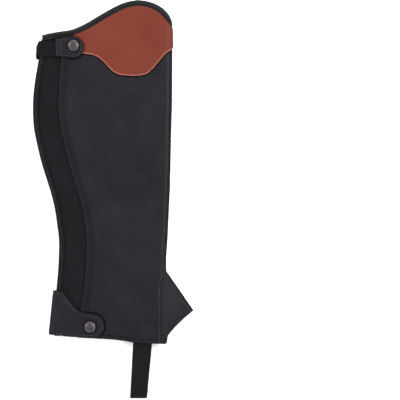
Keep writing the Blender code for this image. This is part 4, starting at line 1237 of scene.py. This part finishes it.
def wrap_form(wrap):
    """Over the outer side, round the back edge and back along the underside."""
    def place(across, up):
        start, radius, top, quarter, straight = wrap_turn(wrap, up)
        gone = start - across
        if gone <= 0:
            return Vector((across, up, middle(across, up).z + wrap.lift(across)))
        y = up - wrap.drop * ease(gone, 0.0, 2 * quarter + straight)
        if gone <= quarter:
            out, fall = math.sin(gone / radius), 1 - math.cos(gone / radius)
            return Vector((start - radius * out, y, top - radius * fall))
        gone -= quarter
        if gone <= straight:
            return Vector((start - radius, y, top - radius - gone))
        gone -= straight
        if gone <= quarter:
            out, rise = math.cos(gone / radius), 1 - math.sin(gone / radius)
            return Vector((start - radius * out, y, wrap.half + radius * rise))
        return Vector((start + gone - quarter, y, wrap.half))

    return place


def wrap_stations(wrap, up, steps=8):
    """The across values of a section, from the back edge round to its root on the underside."""
    start, _, _, quarter, straight = wrap_turn(wrap, up)
    gone = [quarter * i / steps for i in range(steps)]
    gone += [quarter + straight * i / 3 for i in range(3)]
    gone += [quarter + straight + quarter * i / steps for i in range(steps)]
    gone += [2 * quarter + straight + (TAB_ROOT + GAP) * i / 4 for i in range(5)]
    return [start - g for g in gone]


def root_of(wrap):
    return lambda up: wrap_stations(wrap, up)[-1]


def wrap_edge(wrap, up_of):
    """One edge of a wrapping piece, from the back edge round to its root."""
    return [(x, up_of(x)) for x in wrap_stations(wrap, up_of(back(up_of(back(0)))))]


def wrap_grid(wrap, low, high, gap):
    count = max(int((high - low) / gap), 2)
    return [(x, up) for up in np.linspace(low, high, count + 1) for x in wrap_stations(wrap, up)]


def strap_reach(up):
    """The strap's fold leans in towards its top corner."""
    return -98.7 + 0.04 * (up - STRAP_LOW) + 3.4 * ease(up, 196.0, 205.0)


def lower_reach(up):
    return -76.7 + 0.105 * (up - TAB_TOP)


def top_tab_lift(across):
    """Over the strap's end at its left, and over the knee overlay at its right."""
    on_strap = FACE + STRAP + 2 * GAP + TAB / 2
    on_overlay = OVERLAY_HIGH + GAP + TAB / 2
    return on_strap + (on_overlay - on_strap) * ease(across, -60.0, -52.0)


strap_wrap = Wrap(strap_reach, same(FACE + GAP + STRAP / 2), STRAP / 2, STRAP_DROP)
tab_wrap = Wrap(lower_reach, same(FACE + GAP + TAB / 2), TAB / 2, 0.0)
print(f"the strap's bend has a radius of {wrap_turn(strap_wrap, STRAP_LOW)[1]:.1f} mm")

# %% Elastic strap at the top
low_wrap = wrap_edge(strap_wrap, same(STRAP_LOW))
high_wrap = wrap_edge(strap_wrap, same(STRAP_HIGH))
low_start, high_start = low_wrap[0][0] + 1.5, high_wrap[0][0] + 1.5
outline = (
    low_wrap[::-1]
    + path(low_start, STRAP_END, 16, itself, same(STRAP_LOW))
    + path(STRAP_LOW, STRAP_HIGH, 8, same(STRAP_END), itself)
    + path(STRAP_END, high_start, 16, itself, same(STRAP_HIGH))
    + [(high_start, STRAP_HIGH)] + high_wrap
    + path(STRAP_HIGH, STRAP_LOW, 8, root_of(strap_wrap), itself)[1:])
grid = wrap_grid(strap_wrap, STRAP_LOW, STRAP_HIGH, 2.4)
grid += box_grid(-92.0, STRAP_END, STRAP_LOW, STRAP_HIGH, 2.4)
dress(cut("strap_elastic_top", outline, -STRAP / 2, STRAP / 2, webbing, grid, 0.9,
          wrap_form(strap_wrap), edge=0.4), "top_strap")

# %% Top tab
TOP_STITCH_IN = 2.3


def top_form(across, up):
    return middle(across, up) + Vector((0, 0, top_tab_lift(across)))


def tab_flank(side, corner):
    """A straight flank from the round end to a corner at the tab's left."""
    end = TOP_TAB.y + side * TOP_TAB.radius
    return lambda x: end + (TOP_TAB.x - x) / (TOP_TAB.x - TAB_LEFT) * (corner - end)


low_left, high_left = STRAP_LOW - 0.7, STRAP_HIGH + 3.0
low_flank, high_flank = tab_flank(-1, low_left), tab_flank(1, high_left)
outline = (
    round_end(TOP_TAB, 0.0, 30)
    + path(TOP_TAB.x, TAB_LEFT, 12, itself, low_flank)
    + path(low_left, high_left, 10, same(TAB_LEFT), itself)
    + path(TAB_LEFT, TOP_TAB.x, 12, itself, high_flank))
tab_row = (
    path(TAB_LEFT + 8.2, TOP_TAB.x, 10, itself, shifted(high_flank, -TOP_STITCH_IN))
    + round_end(TOP_TAB, -TOP_STITCH_IN, 24)
    + path(TOP_TAB.x, TAB_LEFT + 8.0, 10, itself, shifted(low_flank, TOP_STITCH_IN)))
tab_rows = [tab_row] + [path(low_left + 1.8, high_left - 1.6, 10, same(TAB_LEFT + x), itself)
                        for x in (2.2, 8.2)]
grid = box_grid(TAB_LEFT, TOP_TAB.x + TOP_TAB.radius, 180.0, 210.0, 2.2)
# a ring of painted shade round the press stud's cap
dress(cut("top_tab_leather", outline, -TAB / 2, TAB / 2, black, grid, 1.2, top_form, rows=tab_rows,
          edge=0.6, depth=0.4, dark=[(cap_ring("top_snap"), 1.5, 0.8)]), "top_tab")

# %% Lower tab
LOWER_STITCH_IN = 2.8
LAST_SEWN = 12  # its stitches start at this station of the bend, underneath

lower_form = wrap_form(tab_wrap)
tab_low = shifted(hem_out, 1.0)
low_wrap = wrap_edge(tab_wrap, tab_low)
high_wrap = wrap_edge(tab_wrap, same(TAB_TOP))
wrap_start, root_low = low_wrap[0][0] + 1.0, low_wrap[-1][1]
upper_edge = path(TAB_EDGE[0].across + 4.2, LOWER_TAB.x, 60, itself, tab_edge)
outline = (
    round_end(LOWER_TAB, 0.0, 34)
    + path(LOWER_TAB.x, wrap_start, 20, itself, tab_low) + low_wrap
    + path(root_low, TAB_TOP, 20, root_of(tab_wrap), itself)[1:]
    + high_wrap[::-1] + upper_edge)
lower_row = (
    [(x, TAB_TOP - LOWER_STITCH_IN) for x in wrap_stations(tab_wrap, TAB_TOP)[LAST_SEWN:0:-1]]
    + beside(upper_edge, -LOWER_STITCH_IN)
    + round_end(LOWER_TAB, -LOWER_STITCH_IN, 26)
    + path(LOWER_TAB.x, wrap_start, 20, itself, shifted(tab_low, LOWER_STITCH_IN)))
grid = wrap_grid(tab_wrap, root_low, TAB_TOP, 2.6)
grid += box_grid(-72.0, LOWER_TAB.x + LOWER_TAB.radius, root_low - 3.0, TAB_TOP, 2.6)
# a ring of painted shade round the press stud's cap
dress(cut("lower_tab_leather", outline, -TAB / 2, TAB / 2, black, grid, 1.2, lower_form,
          rows=[lower_row], edge=0.6, depth=0.4, dark=[(cap_ring("lower_snap"), 1.5, 0.8)]),
      "lower_tab")

# %% [markdown]
# ## The stirrup loop
#
# A band of firm elastic is sewn behind the outer panel, runs down under the boot and comes back
# up to the inner side. It lies folded flat. Its form is a line of stations seen from the side,
# given a width; a few more points are put between them with a smooth curve.

# %% Stirrup loop
STIRRUP_X, STIRRUP_LEAN = 37.8, -5.2
STIRRUP_WIDTH, STIRRUP_TAPER = 24.4, 2.6
STIRRUP_TOP, LOOP_END = -185.0, -254.5


def smooth_line(points, gap):
    """A curve through points, with its own points a fixed gap apart."""
    line = np.array(points, float)
    around = np.concatenate([line[:1], line, line[-1:]])
    dense = [0.5 * (2 * b + (c - a) * t + (2 * a - 5 * b + 4 * c - d) * t * t
                    + (3 * b - a - 3 * c + d) * t ** 3)
             for a, b, c, d in zip(around, around[1:], around[2:], around[3:])
             for t in np.linspace(0, 1, 12, endpoint=False)]
    return [Vector(place) for place in evenly([*dense, line[-1]], gap)]


def walked(stations):
    """Each station of a line with its normal and the distance gone."""
    gone = 0.0
    for i, station in enumerate(stations):
        before, after = stations[max(i - 1, 0)], stations[min(i + 1, len(stations) - 1)]
        ahead = (after - before).normalized()
        gone += (station - before).length
        yield station, Vector((-ahead.y, ahead.x)), gone


section = section_ring(28, 1.0, STIRRUP / 2, 0.16, 0.55)
rings, flat = [], []
for station, normal, gone in walked(smooth_line([(row.up, row.z) for row in LOOP], 1.3)):
    down = (STIRRUP_TOP - station.x) / (STIRRUP_TOP - LOOP_END)
    centre = STIRRUP_X + STIRRUP_LEAN * down
    half = (STIRRUP_WIDTH - STIRRUP_TAPER * down) / 2
    rings.append([(centre + half * side, *(station + normal * level)) for side, level in section])
    flat += [(half * side, gone) for side, _ in section]
dress(sweep("stirrup_elastic", rings, webbing, flat), "stirrup_strap")
BLANKS["stirrup_elastic"] = (STIRRUP_WIDTH, gone, (STIRRUP_WIDTH - STIRRUP_TAPER / 2) * gone)

# %% [markdown]
# ## Stitches
#
# A stitch row is a line on the flat pattern. Geometry Nodes turn the line into a curve, set out a
# point every few millimetres and put one stitch on each: a short thread that rises from one
# needle hole and dips into the next. The line carries an `out` vector, the leather's normal
# there, so every stitch stands the right way up round the folds. Realize Instances makes them
# real thread, and Set Material paints them.

# %% The stitch tree
ROW_INPUTS = {"Rows": "Geometry", "Pitch": "Float", "Length": "Float", "Arch": "Float",
              "Radius": "Float", "Turn": "Float", "Sway": "Float", "Thread": "Material"}
FIRST_FLOAT = 2  # the Random Value node's Min for numbers; its Max comes next


def stitch_tree():
    """Sets a short arched thread on every point of the curves that it is given."""
    tree = bpy.data.node_groups.new("stitch_row", "GeometryNodeTree")
    keys = {name: tree.interface.new_socket(
        name=name, in_out="INPUT", socket_type="NodeSocket" + kind).identifier
        for name, kind in ROW_INPUTS.items()}
    tree.interface.new_socket(name="Stitches", in_out="OUTPUT", socket_type="NodeSocketGeometry")
    given = {socket.name: Socket(tree, socket)
             for socket in tree.nodes.new("NodeGroupInput").outputs}

    def add(kind, output=0, settings=None, **inputs):
        return add_node(tree, kind, output, settings, **inputs)

    half, dip = given["Length"] * 0.5, given["Arch"] * -0.6
    arch = add("GeometryNodeCurveQuadraticBezier", resolution=5,
               start=add("ShaderNodeCombineXYZ", x=half * -1.0, z=dip),
               middle=add("ShaderNodeCombineXYZ", z=given["Arch"]),
               end=add("ShaderNodeCombineXYZ", x=half, z=dip))
    circle = add("GeometryNodeCurvePrimitiveCircle", resolution=6, radius=given["Radius"])
    one = add("GeometryNodeCurveToMesh", curve=arch, profile_curve=circle, fill_caps=True)
    points = add("GeometryNodeResampleCurve", 0, {"mode": "LENGTH"}, length=given["Pitch"],
                 curve=add("GeometryNodeMeshToCurve", mesh=given["Rows"]))
    out = add("GeometryNodeInputNamedAttribute", 0, {"data_type": "FLOAT_VECTOR"}, name="out")
    upright = add("FunctionNodeAlignRotationToVector", 0, {"axis": "Z"}, vector=out)
    along = add("FunctionNodeAlignRotationToVector", 0, {"axis": "X", "pivot_axis": "Z"},
                rotation=upright, vector=add("GeometryNodeInputTangent"))
    sway = add("FunctionNodeRandomValue", 1, {"data_type": "FLOAT"}, seed=7)
    ends = sway.output.node.inputs[FIRST_FLOAT:]
    plug(tree, given["Sway"] * -1.0, ends[0])
    plug(tree, given["Sway"], ends[1])
    spin = add("FunctionNodeAxisAngleToRotation", axis=(0, 0, 1), angle=sway + given["Turn"])
    turned = add("FunctionNodeRotateRotation", 0, {"rotation_space": "LOCAL"}, rotation=along,
                 rotate_by=spin)
    placed = add("GeometryNodeInstanceOnPoints", points=points, instance=one, rotation=turned)
    real = add("GeometryNodeRealizeInstances", geometry=placed)
    painted = add("GeometryNodeSetMaterial", geometry=real, material=given["Thread"])
    tree.links.new(painted.output, tree.nodes.new("NodeGroupOutput").inputs[0])
    return tree, keys


STITCH_TREE, STITCH_KEYS = stitch_tree()
print(len(STITCH_TREE.nodes), "nodes sew every stitch")

# %% Stitches along rows
def stitches(name, rows, thread, pitch=3.3, length=2.7, arch=0.45, radius=0.3, turn=0.0,
             sway=0.05):
    """Stitches along rows of (place, out) pairs in millimetres, as one plain mesh."""
    points, outs, edges = [], [], []
    for row in rows:
        first = len(points)
        points += [(place + SHIFT) * MM for place, _ in row]
        outs += [out for _, out in row]
        edges += [(i, i + 1) for i in range(first, len(points) - 1)]
    mesh = bpy.data.meshes.new(name + "_rows")
    mesh.from_pydata(points, edges, [])
    attribute = mesh.attributes.new("out", "FLOAT_VECTOR", "POINT")
    attribute.data.foreach_set("vector", np.array(outs, np.float32).ravel())
    lines = linked(name + "_rows", mesh)
    modifier = lines.modifiers.new("stitches", "NODES")
    modifier.node_group = STITCH_TREE
    for key, value in (("Pitch", pitch * MM), ("Length", length * MM), ("Arch", arch * MM),
                       ("Radius", radius * MM), ("Turn", turn), ("Sway", sway),
                       ("Thread", thread)):
        modifier[STITCH_KEYS[key]] = value
    bpy.context.view_layer.update()
    graph = bpy.context.evaluated_depsgraph_get()
    made = bpy.data.meshes.new_from_object(lines.evaluated_get(graph))
    made.name = name
    made.shade_smooth()
    bpy.data.objects.remove(lines, do_unlink=True)
    thing = linked(name, made)
    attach(thing, "chap")
    tell_size(thing)


def sewn(rows, level, form=middle):
    """Pattern rows as (place, out) pairs at a level over a form."""
    found = []
    for row in rows:
        pairs = [place_and_normal(*p, form) for p in evenly(row, 1.5)]
        found.append([(place + normal * level, normal) for place, normal in pairs])
    return found

# %% Every stitch row
stitches("panel_stitches", sewn(seam_rows + [hem_row], FACE - 0.25), matt_thread)
stitches("flare_stitches", sewn([flare_row], FACE - 0.12), black_thread)
stitches("box_stitches", sewn([box_row], FACE - 0.3), dark_thread)
stitches("strip_stitches", sewn([strip_row], FACE - 0.15), dark_thread)
stitches("tab_stitches", sewn(tab_rows, TAB / 2 - 0.2, top_form)
         + sewn([lower_row], TAB / 2 - 0.2, lower_form), dark_thread)
stitches("overlay_stitches", sewn([brown_row], OVERLAY_HIGH - 0.12), brown_thread,
         pitch=3.0, length=2.4, radius=0.26)

# %% [markdown]
# ## Zip
#
# A hidden zip closes the back edge. Its two woven tapes lie under the leather and turn in to the
# coil, which is two rows of nylon loops that hook into each other. The same tree that sets
# stitches sets the loops, turned a quarter round. The slider is closed near the top, and its pull
# hangs down.

# %% The two tapes
CHAIN_LOW, CHAIN_WIDTH = -163.8, 5.0
SLIDER_Y, SLIDER_HALF = 171.0, 4.6
TAPE_FLOOR = 2.3


def tape_level(up, side):
    """The height of a tape's middle: one lies under the outer side, one near the floor."""
    return thick(up) - FACE + TAPE_HIGH - TAPE / 2 if side > 0 else TAPE_FLOOR + TAPE / 2


def zip_middle(up):
    """The height of the zip's middle, between its two tapes."""
    return (tape_level(up, 1) + tape_level(up, -1)) / 2


def zip_tape(name, side, node):
    """A tape that lies flat by the leather and turns in to the coil."""
    rings, flat = [], []
    low = hem_out(-75.0) + 2.0
    for up in np.linspace(low, ZIP_TOP, 91):
        flange = tape_level(up, side)
        stop = zip_middle(up) + side * (CHAIN_WIDTH / 2 + GAP)
        h = side * TAPE / 2
        section = (
            (0.8, flange + h), (4.2, flange + h), (5.1, flange + 0.2 * h),
            (5.5, flange - 1.6 * h), (5.5, stop), (4.5, stop), (4.5, flange - 2.0 * h),
            (3.9, flange - h), (0.8, flange - h))
        rings.append([(back(up) + reach, up, z) for reach, z in section])
        flat += [(k * 2.0, up) for k in range(len(section))]
    dress(sweep(name, rings, tape, flat), node)
    wide = 3.7 + 1.8 + abs(stop - flange)
    BLANKS[name] = (max(wide, 10.0), ZIP_TOP - low, wide * (ZIP_TOP - low))


zip_tape("outer_zip_tape", 1, "zip_tape_outer")
zip_tape("inner_zip_tape", -1, "zip_tape_inner")

# %% The coil between them
def zip_bar(name, low, high, width, thickness, material, gap):
    """A bar with rounded edges that follows the zip."""
    section = section_ring(16, thickness / 2, width / 2, 0.5, 0.5)
    ups = np.linspace(low, high, max(int((high - low) / gap), 2) + 1)
    rings = [[(back(up) + ZIP_INSET + x, up, zip_middle(up) + z) for x, z in section]
             for up in ups]
    return sweep(name, rings, material, [(k * 0.9, up) for up in ups for k in range(len(section))])


COIL_PITCH = 1.3
chain_high = SLIDER_Y - SLIDER_HALF - GAP
dress(zip_bar("zip_core", CHAIN_LOW, chain_high, CHAIN_WIDTH - 0.4, 1.3, tape, 3.0), "zip_chain")
loops = []
for side, start in ((-1, 0.6), (1, 0.6 + COIL_PITCH / 2)):
    ups = np.arange(CHAIN_LOW + start, chain_high - 0.6, COIL_PITCH)
    loops.append([(Vector((back(up) + ZIP_INSET - 0.55, up, zip_middle(up) + side * 0.95)),
                   Vector((-1, 0, 0))) for up in ups])
stitches("zip_loops", loops, black_thread, pitch=COIL_PITCH, length=2.9, arch=0.8,
         turn=math.pi / 2, sway=0.02)

# %% [markdown]
# ## Hardware
#
# The press studs' caps are turned shapes, so each is a profile spun round: a rolled rim, a fine
# step and a low dome. The slider is an H-shaped casting that rides between the tapes, with an
# arch for its pull. The pull is a plate with a window; its outline and its window are joined ring
# by ring.

# %% Press-stud caps
STUD_SIDES = 72
SNAP_RINGS = (  # share of the radius, share of the height
    (0.62, 0.0), (0.94, 0.0), (0.985, 0.06), (1.0, 0.18), (0.995, 0.34), (0.97, 0.5),
    (0.925, 0.63), (0.87, 0.7), (0.83, 0.725), (0.805, 0.715), (0.79, 0.70), (0.775, 0.705),
    (0.75, 0.73), (0.66, 0.80), (0.54, 0.87), (0.42, 0.92), (0.33, 0.94), (0.30, 0.93),
    (0.27, 0.905), (0.235, 0.90), (0.2, 0.915), (0.12, 0.93), (0.05, 0.935))


def press_stud(name, node):
    """A profile spun round, closed by a fan of faces at its bottom and its top."""
    low, high = [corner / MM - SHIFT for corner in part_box(node)]
    centre, radius, tall = (low + high) / 2, (high.x - low.x) / 2, high.z - low.z
    turns = [2 * math.pi * i / STUD_SIDES for i in range(STUD_SIDES)]
    points = [(centre.x, centre.y, low.z)]
    for share, rise in SNAP_RINGS:
        points += [(x, y, low.z + tall * rise)
                   for x, y in ring_of(centre.x, centre.y, radius * share, turns)]
    points.append((centre.x, centre.y, points[-1][2]))
    rings = [range(i, i + STUD_SIDES) for i in range(1, len(points) - 1, STUD_SIDES)]
    faces = bands(rings)
    for i in range(STUD_SIDES):
        j = (i + 1) % STUD_SIDES
        faces += [(0, rings[0][j], rings[0][i]), (rings[-1][i], rings[-1][j], len(points) - 1)]
    dress(make_object(name, points, faces, gunmetal), node)


press_stud("top_stud_cap", "top_snap")
press_stud("lower_stud_cap", "lower_snap")

# %% Slider
PULL_OFF = 0.85  # how far the pull lies off the slider
slope = (back(SLIDER_Y + 1) - back(SLIDER_Y - 1)) / 2
down_zip = Vector((slope, 1, 0)).normalized()
into_leg = Vector((down_zip.y, -down_zip.x, 0))
cross_zip = into_leg.cross(down_zip)
slider_centre = Vector((back(SLIDER_Y) + ZIP_INSET, SLIDER_Y, zip_middle(SLIDER_Y)))


def in_slider(x, across, along):
    """A place from its distances into the leg, across the zip and along it."""
    return slider_centre + into_leg * x + cross_zip * across + down_zip * along


plate, post, inner, outer, edge = 3.6, 2.2, 0.9, 2.0, 3.1
profile = ((-outer, -edge), (-outer, edge), (-outer + 0.5, plate), (-inner, plate), (-inner, post),
           (inner, post), (inner, plate), (outer - 0.5, plate), (outer, edge),
           (outer, -edge), (outer - 0.5, -plate), (inner, -plate), (inner, -post),
           (-inner, -post), (-inner, -plate), (-outer + 0.5, -plate))
# Distances along the slider, and how wide its plates are there
narrowing = ((-4.6, 0.66), (-4.2, 0.74), (-2.4, 0.84), (0.0, 0.95), (2.0, 1.0), (3.6, 0.98),
             (4.3, 0.9), (4.6, 0.8))
slider = sweep("slider_body", [
    [in_slider(x, a * (share if abs(a) > post else 1.0), along) for x, a in profile]
    for along, share in narrowing], gunmetal)

arch_top = outer + PULL_OFF + 1.15
half_arch = [(-outer + 0.4, -2.6), (-arch_top + 0.9, -2.5), (-arch_top + 0.25, -2.0),
             (-arch_top, -0.9)]
arch = smooth_line(half_arch + [(x, -a) for x, a in reversed(half_arch)], 0.35)
section = section_ring(12, 0.42, 0.8)
crown = sweep("slider_arch", [
    [in_slider(place.x + side.x * out, along, place.y + side.y * out) for out, along in section]
    for place, side, _ in walked(arch)], gunmetal)


def soften_and_crown(work):
    """Rounds the slider's sharp edges and adds the arch to it."""
    sharp = [e for e in work.edges if len(e.link_faces) == 2 and e.calc_face_angle() > 0.6]
    bmesh.ops.bevel(work, geom=sharp, offset=0.18 * MM, segments=2, profile=0.5, affect="EDGES")
    work.from_mesh(crown.data)


outward(slider, soften_and_crown)
bpy.data.objects.remove(crown, do_unlink=True)
slider.data.shade_smooth()
slider.data.set_sharp_from_angle(angle=METAL_CREASE)
dress(slider, "zip_slider")

# %% Pull tab
PULL_HALF, PULL_ROUND = 0.45, 0.22  # half its thickness, and how round its edges are
WINDOW_MIDDLE = np.array((0.0, -2.95))


def mirrored(line):
    """A closed line from its right half, whose ends lie in the middle."""
    return line + [(-x, y) for x, y in reversed(line[1:-1])]


outer_line = mirrored(evenly([
    (0, 0.45), (1.7, 0.45), (2.15, 0.25), (2.35, -0.2), (2.6, -1.6), (2.6, -13.6), (2.4, -15.3),
    (1.8, -16.5), (0.9, -16.95), (0, -17.0)], 0.4))
window = mirrored([(0.0, -0.5), (0.85, -0.5), (1.15, -0.75), (1.25, -1.1), (1.25, -4.7),
                   (1.1, -5.15), (0.8, -5.35), (0.0, -5.4)])


def to_window(point):
    """Where the line from the window's middle to an outline point leaves the window."""
    ray = np.array(point) - WINDOW_MIDDLE
    found = []
    for a, b in zip(window, window[1:] + window[:1]):
        start, run = np.array(a) - WINDOW_MIDDLE, np.array(b) - np.array(a)
        cross = ray[0] * run[1] - ray[1] * run[0]
        if abs(cross) > 1e-9:
            along = (start[0] * run[1] - start[1] * run[0]) / cross
            share = (start[0] * ray[1] - start[1] * ray[0]) / cross
            if along > 0 and -1e-6 <= share <= 1 + 1e-6:
                found.append(along)
    return tuple(WINDOW_MIDDLE + ray * min(found))


rounding = ((1, -PULL_HALF), (0.3, 0.3 * PULL_ROUND - PULL_HALF), (0, PULL_ROUND - PULL_HALF),
            (0, PULL_HALF - PULL_ROUND), (0.3, PULL_HALF - 0.3 * PULL_ROUND), (1, PULL_HALF))
rings = []
for line, sign in ((outer_line, -1), ([to_window(p) for p in outer_line], 1)):
    for inset, x in rounding[::-sign]:
        rings.append([in_slider(x - outer - PULL_OFF, across, along)
                      for across, along in moved(line, sign * inset * PULL_ROUND)])
pull = sweep("zip_pull_tab", rings + rings[:1], gunmetal, ends=False)
outward(pull, lambda work: bmesh.ops.remove_doubles(work, verts=work.verts, dist=1e-6))
dress(pull, "zip_pull", "pull")

# %% Zip box at the lower end
BOX_LONG = 7.0
box_high = CHAIN_LOW - GAP
dress(zip_bar("zip_end_box", box_high - BOX_LONG, box_high, CHAIN_WIDTH, 3.8, gunmetal, 0.7),
      "zip_box")

# %% [markdown]
# ## What each sheet was cut from
#
# Cloth and leather start flat. For each piece, the size of the blank that it was cut from and
# the area of its cut are printed, so that anyone who makes the part again knows what leather it
# takes.

SHEETS = table("piece held rests_on sewn",
    ("inner_leather", "laid", ("floor",), ()),
    ("outer_leather", "folded", ("inner_leather", "stirrup_elastic"),
     ("panel_stitches", "flare_stitches", "box_stitches")),
    ("stretch_panel", "laid", ("inner_leather", "outer_zip_tape"), ()),
    ("back_leather", "laid", ("stretch_panel", "outer_zip_tape"), ("strip_stitches",)),
    ("knee_overlay", "laid", ("outer_leather",), ("overlay_stitches",)),
    ("mouth_binding", "folded", ("outer_leather", "knee_overlay"), ()),
    ("flare_leather", "folded", ("floor",), ()),
    ("strap_elastic_top", "folded", ("back_leather", "floor"), ()),
    ("top_tab_leather", "laid", ("strap_elastic_top", "knee_overlay"), ()),
    ("lower_tab_leather", "folded", ("outer_leather", "floor"), ("tab_stitches",)),
    ("stirrup_elastic", "folded", ("floor",), ()),
    ("outer_zip_tape", "laid", ("zip_core",), ("zip_loops",)),
    ("inner_zip_tape", "laid", ("inner_leather",), ()))
for piece, held, rests_on, sewn_on in SHEETS:
    wide, long, area = BLANKS[piece]
    wide * MM
    long * MM
    area * MM * MM
    list(rests_on)
    [bpy.data.objects[name] for name in sewn_on]
    print(f"{piece}: {wide:.0f} by {long:.0f} mm, {area / 100:.0f} square cm, {held}")
